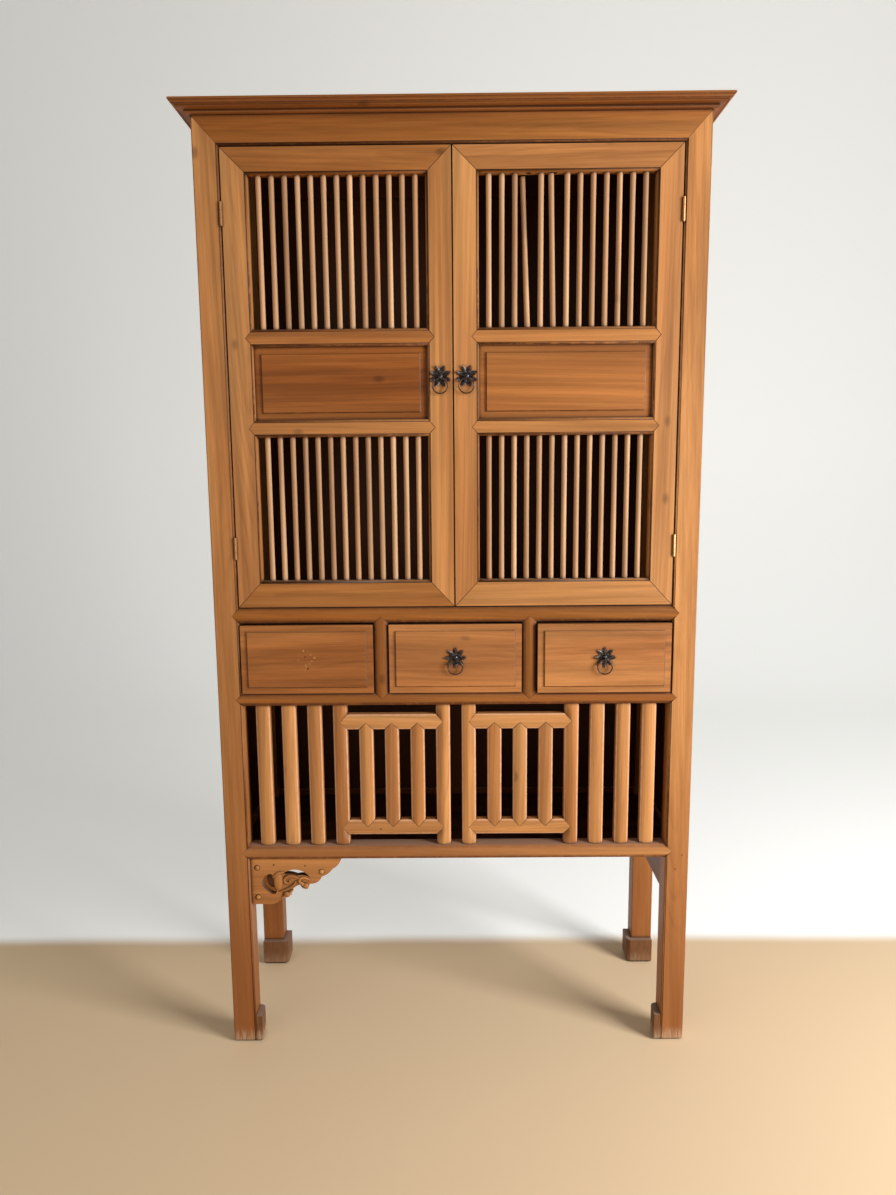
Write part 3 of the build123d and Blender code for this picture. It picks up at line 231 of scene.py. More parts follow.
def copy_of(node):
    """A node's solids as one merged mesh with whole flat faces."""
    bm = bmesh.new()
    bm.from_mesh(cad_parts[node].data)
    bmesh.ops.remove_doubles(bm, verts=bm.verts[:], dist=SAME_PLACE)
    bmesh.ops.dissolve_limit(bm, angle_limit=FLAT_WITHIN, verts=bm.verts[:], edges=bm.edges[:])
    return bm


def pour(source, target):
    """Adds one bmesh to another and frees it."""
    mesh = bpy.data.meshes.new("poured")
    source.to_mesh(mesh)
    source.free()
    target.from_mesh(mesh)
    bpy.data.meshes.remove(mesh)


def boards_of(bm):
    """The separate boards of a mesh, each as a list of its vertices."""
    bm.verts.ensure_lookup_table()
    bm.verts.index_update()
    seen = set()
    boards = []
    for first in bm.verts:
        if first.index in seen:
            continue
        seen.add(first.index)
        waiting, board = [first], []
        while waiting:
            vert = waiting.pop()
            board.append(vert)
            for edge in vert.link_edges:
                other = edge.other_vert(vert)
                if other.index not in seen:
                    seen.add(other.index)
                    waiting.append(other)
        boards.append(board)
    return boards


def ease(bm, width, shortest=0.0):
    """Softens the outward edges that have room for it, and marks them as arrises."""
    arris = bm.faces.layers.float.new("arris")
    cramped = {vert for edge in bm.edges if edge.calc_length() < 1.6 * width for vert in edge.verts}
    edges = [
        edge for edge in bm.edges
        if edge.is_manifold and edge.is_convex and edge.calc_face_angle(0) > EASED_FROM
        and edge.calc_length() >= shortest and not cramped.intersection(edge.verts)
    ]
    eased = bmesh.ops.bevel(
        bm, geom=edges, offset=width, offset_type="OFFSET", segments=2, profile=0.5,
        affect="EDGES", material=-1, clamp_overlap=True, loop_slide=True,
    )
    for face in eased["faces"]:
        face[arris] = 1.0


def lay_grain(bm, key, tone, spread, drift=0.0):
    """Gives each board its own run of grain, its own heart and its own tone, which may drift along it."""
    grain = bm.verts.layers.float_vector.new("grain")
    shade = bm.verts.layers.float.new("tone")
    for number, board in enumerate(boards_of(bm)):
        pick = random.Random(f"{key} {number}")
        low = Vector([min(vert.co[axis] for vert in board) for axis in range(3)])
        high = Vector([max(vert.co[axis] for vert in board) for axis in range(3)])
        size, middle = high - low, (high + low) / 2
        run, wide, thick = sorted(range(3), key=lambda axis: -size[axis])
        heart_aside = pick.uniform(-0.35, 0.35) * size[wide]
        heart_deep = (size[thick] / 2 + pick.uniform(0.015, 0.06)) * pick.choice((-1, 1))
        lean_aside, lean_deep = pick.uniform(-0.03, 0.03), pick.uniform(-0.04, 0.04)
        start = pick.uniform(-30, 30)
        board_tone = tone + pick.uniform(-spread, spread)
        for vert in board:
            spot = vert.co - middle
            along = spot[run]
            vert[grain] = (
                along + start,
                spot[wide] - heart_aside + lean_aside * along,
                spot[thick] - heart_deep + lean_deep * along,
            )
            vert[shade] = board_tone + drift * spot[run] / size[run]


def mark_inside(bm, node):
    """Marks the faces that look into the case, which were never finished and get painted shade as well; the
    side aprons' inner faces and the walls that the carving pierces get painted shade only.
    """
    inside = bm.faces.layers.float.new("inside")
    bm.normal_update()
    low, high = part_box(node)
    for face in bm.faces:
        spot = face.calc_center_median()
        if node in FACING_IN:
            face[inside] = 1.0 if face.normal.dot(Vector(FACING_IN[node])) > 0.2 else 0.0
        elif node == "side_aprons":
            face[inside] = 0.7 if face.normal.x * spot.x < 0 else 0.0
        elif node == "carved_spandrel":
            along, drop = (spot.x - low.x) / (high.x - low.x), (high.z - spot.z) / (high.z - low.z)
            pierced = 0.1 < along < 0.68 and 0.22 < drop < 0.78 and along + drop < 1.06
            face[inside] = 0.75 if pierced and abs(face.normal.y) < 0.5 else 0.0


def timber(node, finish, slot="frame_wood", tone=0.0, spread=0.25, arris=0.0, shortest=0.0, drift=0.0):
    """A node's boards with eased edges and their own grain."""
    bm = copy_of(node)
    if arris:
        ease(bm, arris, shortest)
    mark_inside(bm, node)
    lay_grain(bm, node, tone, spread, drift)
    piece = place(bm, f"{node}_timber", finish, even=bool(arris))
    stand_in(piece, slot, node)


# ---------------------------------------------------------------- shader helpers
def feed(tree, node, inputs):
    """Puts values into a node's sockets, or links to them."""
    for name, value in inputs.items():
        if isinstance(value, bpy.types.NodeSocket):
            tree.links.new(value, node.inputs[name])
        else:
            node.inputs[name].default_value = value


def put(tree, kind, inputs=None, **settings):
    """Adds a node, with its settings and what goes into its sockets."""
    node = tree.nodes.new(kind)
    for name, value in settings.items():
        setattr(node, name, value)
    feed(tree, node, inputs or {})
    return node


def blank(name):
    """A new material with its surface shader in place."""
    material = bpy.data.materials.new(name)
    material.use_nodes = True
    tree = material.node_tree
    tree.nodes.clear()
    surface = put(tree, "ShaderNodeBsdfPrincipled")
    put(tree, "ShaderNodeOutputMaterial", {"Surface": surface.outputs["BSDF"]})
    return material, tree, surface


def layer(tree, name, output="Fac"):
    """A named layer of the mesh."""
    return put(tree, "ShaderNodeAttribute", attribute_name=name).outputs[output]


def place_on_piece(tree):
    """Where a point lies on its piece."""
    return put(tree, "ShaderNodeTexCoord").outputs["Object"]


def parts_of(tree, vector):
    """The three parts of a vector."""
    return put(tree, "ShaderNodeSeparateXYZ", {0: vector}).outputs


def combined(tree, operation, first, second):
    """Two vectors added, subtracted or multiplied."""
    return put(tree, "ShaderNodeVectorMath", {0: first, 1: second}, operation=operation).outputs[0]


def stretched(tree, vector, scale):
    """Coordinates stretched along the grain."""
    return put(tree, "ShaderNodeMapping", {"Vector": vector, "Scale": scale}).outputs["Vector"]


def cloud(tree, vector, scale, detail=2.0, roughness=0.5):
    """A soft noise from 0 to 1."""
    settings = {"Vector": vector, "Scale": scale, "Detail": detail, "Roughness": roughness}
    return put(tree, "ShaderNodeTexNoise", settings).outputs["Fac"]


def span(tree, value, low, high, to_low=0.0, to_high=1.0):
    """Moves one range of a value onto another."""
    node = put(
        tree, "ShaderNodeMapRange",
        {"Value": value, "From Min": low, "From Max": high, "To Min": to_low, "To Max": to_high},
        interpolation_type="SMOOTHSTEP",
    )
    return node.outputs["Result"]


def sums(tree, operation, first, second=0.0, third=0.0):
    """A sum, product or other reckoning of up to three values."""
    return put(tree, "ShaderNodeMath", {0: first, 1: second, 2: third}, operation=operation).outputs["Value"]


def product(tree, first, *others):
    """Values multiplied together."""
    for other in others:
        first = sums(tree, "MULTIPLY", first, other)
    return first


def blend(tree, factor, first, second):
    """Mixes two colours."""
    return put(tree, "ShaderNodeMix", {0: factor, 6: first, 7: second}, data_type="RGBA").outputs[2]


def nearness(tree, reach, samples):
    """How open a place is: 1 in the open, less in corners and joints."""
    return put(tree, "ShaderNodeAmbientOcclusion", {"Distance": reach}, samples=samples).outputs["AO"]


def relief(tree, strength, height):
    """Fine relief of a surface."""
    settings = {"Strength": strength, "Distance": 0.4 * MILLIMETRE, "Height": height}
    return put(tree, "ShaderNodeBump", settings).outputs["Normal"]


# ---------------------------------------------------------------- finishes
def growth_rings(tree, slow, swayed, look):
    """The thin dark edge of each year's growth, which comes and goes along the board."""
    rings = put(
        tree, "ShaderNodeTexWave",
        {"Vector": swayed, "Scale": math.pi / 10 / look.ring_gap, "Distortion": 1.2, "Detail": 2.0,
         "Detail Scale": 0.8},
        wave_type="RINGS", rings_direction="X", wave_profile="SAW",
    ).outputs["Fac"]
    edge = put(tree, "ShaderNodeValToRGB", {"Fac": rings})
    ramp = edge.color_ramp
    ramp.interpolation = "EASE"
    ramp.elements[0].color = (0, 0, 0, 1)
    ramp.elements[1].color = (0.1, 0.1, 0.1, 1)
    for position, grey in ((0.45, 0.12), (0.86, 1.0)):
        ramp.elements.new(position).color = (grey, grey, grey, 1)
    return product(tree, edge.outputs["Color"], span(tree, cloud(tree, slow, 22.0), 0.4, 0.75, 0.12, 1.0))


def tinted_rim(tree, rim, spot, facing, scuffs, body):
    """Tints a piece's edges. Without a front plane, by how far a face turns away: painted shade, strongest on
    faces turned down. With a front plane, by depth: pale wear along both edges.
    """
    tint, most, start, full, front = rim
    if front is None:
        turned = sums(tree, "ABSOLUTE", facing["Y"])
        edges = product(
            tree, span(tree, turned, start, full), span(tree, turned, 0.3, 0.5),
            span(tree, facing["Z"], 0.2, -0.1, 0.45, 1.0),
        )
    else:
        depth = sums(tree, "SUBTRACT", parts_of(tree, spot)["Y"], front)
        edges = product(tree, span(tree, depth, start, full), span(tree, depth, 0.0052, 0.0042))
    return blend(tree, product(tree, edges, span(tree, scuffs, 0.3, 0.6, 0.5 * most, most)), body, tint)


def wood(
    name, light, dark, look, *, line=0.3, dirt=0.9, rub=0.3, reach=None, roughness=None, rim=None,
    dusty=False, worn_feet=False, ghost=None,
):
    """Waxed elm: drifting tones, faint growth rings, long streaks, old wax, dust and painted shade in corners
    and joints, and rubbed arrises.
    """
    material, tree, surface = blank(name)
    grain = layer(tree, "grain", "Vector")
    tone, arris, inside = layer(tree, "tone"), layer(tree, "arris"), layer(tree, "inside")
    spot = place_on_piece(tree)
    facing = parts_of(tree, put(tree, "ShaderNodeTexCoord").outputs["Normal"])

    slow = stretched(tree, grain, SLOW)
    drift = put(tree, "ShaderNodeTexNoise", {"Vector": slow, "Scale": 13.0, "Detail": 2.0}).outputs["Color"]
    sway = combined(tree, "SUBTRACT", drift, (0.5, 0.5, 0.5))
    swayed = combined(tree, "ADD", slow, combined(tree, "MULTIPLY", sway, (0, 0.024, 0.024)))
    body = blend(tree, span(tree, cloud(tree, slow, 9.0, 3.0), 0.3, 0.7), light, dark)
    body = blend(tree, product(tree, growth_rings(tree, slow, swayed, look), line), body, look.ring_line)
    band = cloud(tree, stretched(tree, grain, BAND), 1.0, 3.0, 0.55)
    streak = cloud(tree, stretched(tree, grain, STREAK), 1.0, 4.0, 0.65)
    pores = cloud(tree, stretched(tree, grain, PORES), 1.0, 1.0)
    flame = cloud(tree, stretched(tree, swayed, FLAME), 1.0, 3.0, 0.6)
    cells = {"Vector": stretched(tree, grain, KNOTS), "Scale": 1.0}
    knots = put(tree, "ShaderNodeTexVoronoi", cells).outputs["Distance"]
    value = product(
        tree, span(tree, band, 0.34, 0.66, 0.85, 1.1), span(tree, streak, 0.36, 0.64, 0.87, 1.08),
        span(tree, pores, 0.3, 0.5, 0.95, 1.0), span(tree, flame, 0.38, 0.66, 1.04, 0.86),
        span(tree, knots, 0.1, 0.03, 1.0, 0.6), sums(tree, "MULTIPLY_ADD", tone, 0.35, 1.0),
    )
    body = put(
        tree, "ShaderNodeHueSaturation",
        {"Color": body, "Hue": sums(tree, "MULTIPLY_ADD", tone, 0.007, 0.502), "Value": value,
         "Saturation": sums(tree, "MULTIPLY_ADD", tone, -0.07, 0.98)},
    ).outputs["Color"]

    scuffs = cloud(tree, spot, 60.0, 4.0, 0.65)
    body = blend(tree, product(tree, arris, span(tree, scuffs, 0.4, 0.62, 0.0, rub)), body, look.rubbed)
    if rim:
        body = tinted_rim(tree, rim, spot, facing, scuffs, body)
    # Unfinished wood and painted shade inside the case; painted shade only on the aprons' inner faces, the
    # carving's pierced walls and its cuts.
    body = blend(tree, inside, body, look.raw_dark_and_shade)
    if worn_feet:
        # The posts' faces inside the case: unfinished wood and painted shade.
        body = blend(tree, inside_the_case(tree, spot), body, look.raw_dark_and_shade)
        body = wear_of_the_feet(tree, spot, body, look)
    if ghost:
        body = ghost_of_a_pull(tree, spot, scuffs, body, ghost)
    # Old wax and dust, and painted shade: darker where nearby faces close in, as in corners, joints and
    # hollows.
    joints = nearness(tree, reach or look.grime_reach, 8)
    corner = product(tree, span(tree, joints, 0.95, 0.4), dirt)
    grime = sums(tree, "MAXIMUM", corner, product(tree, span(tree, joints, 0.95, 0.74), arris, 0.95))
    body = blend(tree, grime, body, look.grime)
    # Pale on faces that turn up: dust, and painted highlight on the tops.
    if dusty:
        body = blend(tree, span(tree, facing["Z"], 0.8, 0.98, 0.0, 0.55), body, DUST_AND_TOP_LIGHT)

    wax = look.sheen if roughness is None else roughness
    rough = span(tree, streak, 0.3, 0.7, wax, wax + 0.14)
    feed(tree, surface, {
        "Base Color": body, "Specular IOR Level": 0.25,
        "Roughness": sums(tree, "MULTIPLY_ADD", grime, 0.25, rough),
        "Normal": relief(tree, 0.25, sums(tree, "MULTIPLY_ADD", pores, 0.6, streak)),
    })
    return material


def inside_the_case(tree, spot):
    """Full between the posts, behind the doors and above the lower floor, where no wax was laid and where
    painted shade darkens the posts inside the case.
    """
    parts = parts_of(tree, spot)
    return product(
        tree, span(tree, sums(tree, "ABSOLUTE", parts["X"]), *BETWEEN_POSTS),
        span(tree, parts["Y"], *BEHIND_DOORS), span(tree, parts["Y"], *BEFORE_BACK),
        span(tree, parts["Z"], *OVER_FLOOR),
    )


def wear_of_the_feet(tree, spot, body, look):
    """Legs that darken downwards, greyed hoofs, and upright pale scuffs on the last centimetres."""
    parts = parts_of(tree, spot)
    body = blend(tree, span(tree, parts["Z"], *LEG_SHADE, 0.0, 0.64), body, look.ring_line)
    rear = product(tree, span(tree, parts["Y"], *HOOF_BACK), span(tree, parts["Y"], 0.0, 0.001))
    hoof = sums(tree, "MAXIMUM", span(tree, sums(tree, "ABSOLUTE", parts["X"]), *HOOF_SIDE), rear)
    scratches = cloud(tree, stretched(tree, spot, SCRATCHES), 1.0, 3.0, 0.6)
    hoof = product(tree, hoof, span(tree, parts["Z"], *HOOF_TOP))
    greyed = product(tree, hoof, span(tree, scratches, 0.3, 0.6, 0.45, 0.9))
    body = blend(tree, greyed, body, look.hoof_grey)
    ragged = sums(tree, "MULTIPLY_ADD", scratches, -0.05, parts["Z"])
    bleached = product(
        tree, span(tree, ragged, 0.01, -0.02), span(tree, scratches, 0.3, 0.62, 0.3, 0.85),
        span(tree, parts["Y"], -0.05, 0.05, 1.0, 0.35),
    )
    return blend(tree, bleached, body, look.foot_wear)


def ghost_of_a_pull(tree, spot, scuffs, body, centre):
    """The faint scratched star that a lost pull has left on its drawer."""
    parts = parts_of(tree, combined(tree, "SUBTRACT", spot, centre))
    upright = product(tree, parts["Z"], parts["Z"])
    radius = sums(tree, "SQRT", sums(tree, "MULTIPLY_ADD", parts["X"], parts["X"], upright))
    turn = sums(tree, "ARCTAN2", parts["Z"], parts["X"])
    broken = cloud(tree, spot, 190.0, 2.0)
    wavy = sums(tree, "MULTIPLY_ADD", turn, 5.0, product(tree, broken, 4.0))
    rays = sums(tree, "ABSOLUTE", sums(tree, "COSINE", wavy))
    pale = product(
        tree, span(tree, radius, 0.007, 0.011), span(tree, radius, 0.023, 0.018), span(tree, rays, 0.75, 1.0),
        span(tree, broken, 0.5, 0.62), 0.4,
    )
    dark = product(tree, span(tree, radius, 0.019, 0.004), span(tree, scuffs, 0.4, 0.62, 0.05, 0.4))
    return blend(tree, dark, blend(tree, pale, body, SCRATCH), SCAR)


def blackened_iron(look, name="blackened iron", rusty=0.0):
    """Black iron rubbed bright in patches, with rust at the tips and in patches."""
    material, tree, surface = blank(name)
    spot = place_on_piece(tree)
    grit = cloud(tree, spot, 420.0, 4.0, 0.6)
    tip = sums(tree, "MULTIPLY_ADD", layer(tree, "tip"), 0.16, grit)
    rust = span(tree, tip, 0.54 - rusty, 0.7 - rusty, 0.0, 0.85)
    fresh = span(tree, cloud(tree, spot, 260.0, 3.0, 0.6), 0.5, 0.66)
    metal = blend(tree, fresh, look.iron, look.bright_iron)
    feed(tree, surface, {
        "Base Color": blend(tree, rust, metal, look.rust),
        "Metallic": sums(tree, "MULTIPLY_ADD", rust, -0.7, 0.9),
        "Roughness": span(tree, grit, 0.3, 0.7, 0.28, 0.5), "Normal": relief(tree, 0.4, grit),
    })
    return material


def dull_brass(look):
    """Brass gone dull and brown in its corners."""
    material, tree, surface = blank("dull brass")
    grit = cloud(tree, place_on_piece(tree), 300.0, 4.0, 0.6)
    joints = nearness(tree, 4 * MILLIMETRE, 6)
    dark = product(tree, span(tree, sums(tree, "MULTIPLY_ADD", grit, -0.5, joints), 0.75, 0.3), 0.9)
    feed(tree, surface, {
        "Base Color": blend(tree, dark, look.brass, look.tarnish), "Metallic": 0.85,
        "Roughness": span(tree, grit, 0.3, 0.7, 0.34, 0.55),
    })
    return material


def elm(name, light, dark, look, **ways):
    """A finish of elm that is made once and then shared."""
    return bpy.data.materials.get(name) or wood(name, light, dark, look, **ways)


def frame_elm(look):
    """Elm of the posts, rails and stiles, with painted shade where a rounded face turns away, strongest where
    it turns down.
    """
    return elm(
        "frame elm", look.honey, look.chestnut, look, line=0.26, worn_feet=True, dusty=True,
        rim=(PAINTED_FLANK_SHADE, 0.9, 0.992, 0.91, None),
    )


def bar_elm(look):
    """Elm of the lattice, rubbed pale along both edges of each bar."""
    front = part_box("lattice_long_bars")[0].y
    return elm("bar elm", look.honey, look.chestnut, look, rim=(PALE_EDGE, 0.8, 0.0021, 0.0031, front))


def carved_elm(look):
    """Elm of the carving, with old wax, dust and painted shade in its hollows."""
    return elm("carved elm", look.honey, look.chestnut, look, dirt=1.0, reach=0.016)


def panel_elm(look, name="panel elm", ghost=None):
    """Redder, broader-figured elm of the panels and drawer fronts, with painted shade round a raised field.
    """
    return elm(
        name, look.panel_honey, look.panel_chestnut, look, rub=0.1, ghost=ghost,
        # Painted shade on the slopes of the raised field.
        rim=(look.grime, 0.8, 0.97, 0.9, None),
    )


def raw_elm(look):
    """Unfinished wood inside the case."""
    return elm("raw elm", look.raw, look.raw_dark_and_shade, look, dirt=0.6, roughness=0.7)


# ---------------------------------------------------------------- pieces
class CABINET_OT_posts(bpy.types.Operator):
    """Four posts with their hoof feet"""

    bl_idname = "cabinet.posts"
    bl_label = "Posts"

    def execute(self, context):
        look = context.scene.cabinet_timber
        for post, tone in (
            ("front_left", -0.1), ("front_right", 0.1), ("back_left", -0.1), ("back_right", -0.1),
        ):
            timber(f"{post}_post", frame_elm(look), tone=tone, spread=0.1, arris=look.arris)
        return {"FINISHED"}


class CABINET_OT_case_rails(bpy.types.Operator):
    """Frieze, front rails, side and back rails, muntins and drawer dividers"""

    bl_idname = "cabinet.case_rails"
    bl_label = "Case rails"

    def execute(self, context):
        look = context.scene.cabinet_timber
        # The frieze's tone is set low and rises towards its right end: painted shade under the top frame and
        # painted light from the right.
        timber("frieze_rail", frame_elm(look), tone=-1.25, spread=0.05, arris=look.arris, drift=0.6)
        for node, tone in (
            ("lower_front_rail", 0.5), ("middle_front_rail", -1.0), ("upper_front_rail", -1.4),
            ("drawer_dividers", -1.2), ("left_side_rails", 0.0), ("right_side_rails", 0.0),
            ("back_rails", -0.3), ("back_muntins", -0.3), ("side_aprons", -0.2),
        ):
            timber(node, frame_elm(look), tone=tone, spread=0.12, arris=look.arris)
        return {"FINISHED"}


class CABINET_OT_case_panels(bpy.types.Operator):
    """Floating panels of the sides, the back and the top"""

    bl_idname = "cabinet.case_panels"
    bl_label = "Case panels"

    def execute(self, context):
        look = context.scene.cabinet_timber
        for node in ("left_side_panels", "right_side_panels", "back_panels", "top_panel"):
            timber(node, panel_elm(look), "panel_wood", tone=0.1, spread=0.3)
        return {"FINISHED"}


class CABINET_OT_top_frame(bpy.types.Operator):
    """Mitred top frame: a plain band, a soffit, a fillet and a cove under the square lip"""

    bl_idname = "cabinet.top_frame"
    bl_label = "Top frame"

    # Corners of the moulding, out from the posts' face and up from their top, in millimetres.
    SECTION = (
        (-38, 0), (1, 0), (8, 0.5), (8.7, 3.4), (8, 6.6), (20.8, 7.3), (21.6, 6.3), (22, 6.5), (22, 9.3),
        (25.4, 9.9), (27.5, 11.7), (28.2, 14.5), (30.6, 15.1), (32, 16.4), (32, 20), (-38, 20),
    )
    OVERHANG = 32 * MILLIMETRE

    def execute(self, context):
        look = context.scene.cabinet_timber
        self.low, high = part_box("top_frame_front")
        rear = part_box("top_frame_back")[1].y - self.OVERHANG
        side, face = high.x - self.OVERHANG, self.low.y + self.OVERHANG
        front = self.member(lambda out: (-side - out, face - out), lambda out: (side + out, face - out))
        ends = bmesh.new()
        for hand in (-1, 1):
            pour(self.member(lambda out: (hand * (side + out), face - out),
                             lambda out: (hand * (side + out), rear + out)), ends)
        # The mouldings' tones are set low: painted shade on faces that turn down.
        for bm, node in ((front, "top_frame_front"), (ends, "top_frame_ends")):
            ease(bm, look.fine_arris)
            lay_grain(bm, node, -1.1, 0.1)
            stand_in(place(bm, f"{node}_moulding", frame_elm(look)), "frame_wood", node)
        timber("top_frame_back", frame_elm(look), tone=-1.0, spread=0.1, arris=look.fine_arris)
        return {"FINISHED"}

    def member(self, start, finish):
        """One moulded member, mitred where its section runs from start to finish."""
        bm = bmesh.new()
        section = []
        for out, up in self.SECTION:
            x, y = start(out * MILLIMETRE)
            section.append(bm.verts.new((x, y, self.low.z + up * MILLIMETRE)))
        cap = bm.faces.new(section)
        grown = bmesh.ops.extrude_face_region(bm, geom=[cap], use_keep_orig=True)["geom"]
        moved = [item for item in grown if isinstance(item, bmesh.types.BMVert)]
        for vert in moved:
            out = next(
                out for out, up in self.SECTION
                if (Vector(start(out * MILLIMETRE)) - vert.co.xy).length < SAME_PLACE
            )
            vert.co.xy = finish(out * MILLIMETRE)
        bmesh.ops.recalc_face_normals(bm, faces=bm.faces[:])
        return bm


class CABINET_OT_inside(bpy.types.Operator):
    """Floors, shelf, bearers, runners, stop and drawer boxes"""

    bl_idname = "cabinet.inside"
    bl_label = "Inside"

    def execute(self, context):
        look = context.scene.cabinet_timber
        for node in (
            "lower_floor", "cupboard_floor", "cupboard_shelf", "shelf_bearers", "drawer_runners", "door_stop",
            "left_drawer_box", "middle_drawer_box", "right_drawer_box",
        ):
            timber(node, raw_elm(look), "inner_wood")
        return {"FINISHED"}


class CABINET_OT_door_frames(bpy.types.Operator):
    """Stiles and rails of both doors"""

    bl_idname = "cabinet.door_frames"
    bl_label = "Door frames"

    def execute(self, context):
        look = context.scene.cabinet_timber
        for door, tones in (("left_door", (0.15, -0.8, -0.35)), ("right_door", (0.3, -0.1, -0.25))):
            for part, tone in zip(("stiles", "end_rails", "mid_rails"), tones):
                timber(f"{door}_{part}", frame_elm(look), tone=tone, spread=0.15, arris=look.arris)
        return {"FINISHED"}


class CABINET_OT_door_panels(bpy.types.Operator):
    """Raised panels of both doors"""

    bl_idname = "cabinet.door_panels"
    bl_label = "Door panels"

    def execute(self, context):
        look = context.scene.cabinet_timber
        for door, tone in (("left_door", -0.75), ("right_door", -0.4)):
            timber(
                f"{door}_panel", panel_elm(look), "panel_wood", tone=tone, spread=0.05, arris=look.fine_arris,
            )
        return {"FINISHED"}


class CABINET_OT_dowels(bpy.types.Operator):
    """Hand-shaved round dowels of the grilles"""

    bl_idname = "cabinet.dowels"
    bl_label = "Dowels"

    def execute(self, context):
        look = context.scene.cabinet_timber
        finish = wood(
            "dowel wood", look.dowel_tan, DOWEL_SHADE, look, line=0.2, dirt=0.8, rub=0, roughness=0.46,
        )
        for door in ("left_door", "right_door"):
            bm = bmesh.new()
            for number, (start, end, radius) in enumerate(self.axes(f"{door}_dowels")):
                self.turn(bm, start, end, radius, random.Random(f"{door} dowel {number}"))
            bm.faces.layers.float.new("arris")
            lay_grain(bm, f"{door} dowels", 0.0, 0.28)
            piece = place(bm, f"{door}_turned_dowels", finish, even=False)
            stand_in(piece, "frame_wood", f"{door}_dowels")
        return {"FINISHED"}

    def axes(self, node):
        """The two ends and the radius of each dowel."""
        bm = copy_of(node)
        found = []
        for board in boards_of(bm):
            faces = {face for vert in board for face in vert.link_faces}
            ends = sorted(faces, key=lambda face: len(face.verts))[-2:]
            lower, upper = sorted(ends, key=lambda face: face.calc_center_median().z)
            bottom, top = lower.calc_center_median(), upper.calc_center_median()
            radius = max((vert.co - bottom).length for vert in lower.verts)
            found.append((bottom, top, radius))
        bm.free()
        return found

    def turn(self, bm, start, end, radius, pick):
        """One round dowel between two points, its girth a little uneven."""
        axis = end - start
        stance = Matrix.Translation((start + end) / 2) @ axis.to_track_quat("Z", "Y").to_matrix().to_4x4()
        dowel = bmesh.new()
        bmesh.ops.create_cone(
            dowel, cap_ends=True, cap_tris=False, segments=20, radius1=radius, radius2=radius,
            depth=axis.length,
        )
        for level in (-0.3, -0.1, 0.1, 0.3):
            height = level * axis.length
            bmesh.ops.bisect_plane(
                dowel, geom=dowel.verts[:] + dowel.edges[:] + dowel.faces[:], plane_co=(0, 0, height),
                plane_no=(0, 0, 1),
            )
            girth = pick.uniform(0.94, 1.0)
            ring = [vert for vert in dowel.verts if abs(vert.co.z - height) < SAME_PLACE]
            bmesh.ops.scale(dowel, vec=(girth, girth, 1), verts=ring)
        bmesh.ops.transform(dowel, matrix=stance, verts=dowel.verts[:])
        pour(dowel, bm)


class CABINET_OT_lattice(bpy.types.Operator):
    """Moulded bars and ladders under the drawers"""

    bl_idname = "cabinet.lattice"
    bl_label = "Lattice"

    def execute(self, context):
        look = context.scene.cabinet_timber
        for node, shortest in (
            ("lattice_long_bars", 0.04), ("lattice_cross_rails", 0.0), ("lattice_short_bars", 0.0),
        ):
            timber(node, bar_elm(look), tone=0.15, spread=0.25, arris=look.arris, shortest=shortest)
        return {"FINISHED"}


class CABINET_OT_drawer_fronts(bpy.types.Operator):
    """Drawer fronts with raised fields; the left one has lost its pull"""

    bl_idname = "cabinet.drawer_fronts"
    bl_label = "Drawer fronts"

    def execute(self, context):
        look = context.scene.cabinet_timber
        low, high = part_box("left_drawer_front")
        lost = (low + high) / 2 + Vector((0, 0, 3 * MILLIMETRE))
        bare, plain = panel_elm(look, "bare drawer elm", tuple(lost)), panel_elm(look)
        for drawer, finish, tone in (
            # The left drawer's tone is lower than the other two's: painted light from the right.
            ("left_drawer", bare, -0.1), ("middle_drawer", plain, 0.3), ("right_drawer", plain, 0.35),
        ):
            timber(f"{drawer}_front", finish, "panel_wood", tone=tone, spread=0.05, arris=look.arris)
        return {"FINISHED"}


class CABINET_OT_nail_holes(bpy.types.Operator):
    """Small holes where nails and pegs are gone: thin discs painted dark, painted shade inside each hole"""

    bl_idname = "cabinet.nail_holes"
    bl_label = "Nail holes"

    # For each body and slot: a hole's node, its place across and up, and its radius, in millimetres.
    HOLES = (
        ("left_drawer", "panel_wood",
         (("left_drawer_front", -303.8, 853.0, 1.5), ("left_drawer_front", -298.5, 828.1, 1.9))),
        ("case", "frame_wood",
         (("front_right_post", 471.2, 423.4, 1.4), ("front_right_post", 457.5, 392.4, 1.5),
          ("carved_spandrel", -386.7, 402.5, 1.9), ("carved_spandrel", -320.4, 400.1, 1.8),
          ("lattice_cross_rails", -158.5, 481.0, 1.6))),
    )
    PROUD = 0.1 * MILLIMETRE
    DEEP = 0.4 * MILLIMETRE

    def execute(self, context):
        material, tree, surface = blank("nail hole")
        dark = span(tree, cloud(tree, place_on_piece(tree), 500.0), 0.3, 0.7)
        # Painted shade of the holes.
        feed(tree, surface, {"Base Color": blend(tree, dark, *HOLE_SHADE_COLOURS), "Roughness": 0.9})
        for body, slot, holes in self.HOLES:
            bm = bmesh.new()
            for host, x, z, radius in holes:
                spot = Vector((x * MILLIMETRE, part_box(host)[0].y - self.PROUD, z * MILLIMETRE))
                bmesh.ops.create_cone(
                    bm, cap_ends=True, cap_tris=False, segments=12, radius1=radius * MILLIMETRE,
                    radius2=radius * 0.8 * MILLIMETRE, depth=self.DEEP,
                    matrix=Matrix.Translation(spot) @ Matrix.Rotation(QUARTER_TURN, 4, "X"),
                )
            piece = place(bm, f"{body}_nail_holes", material, even=False)
            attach(piece, body)
        return {"FINISHED"}


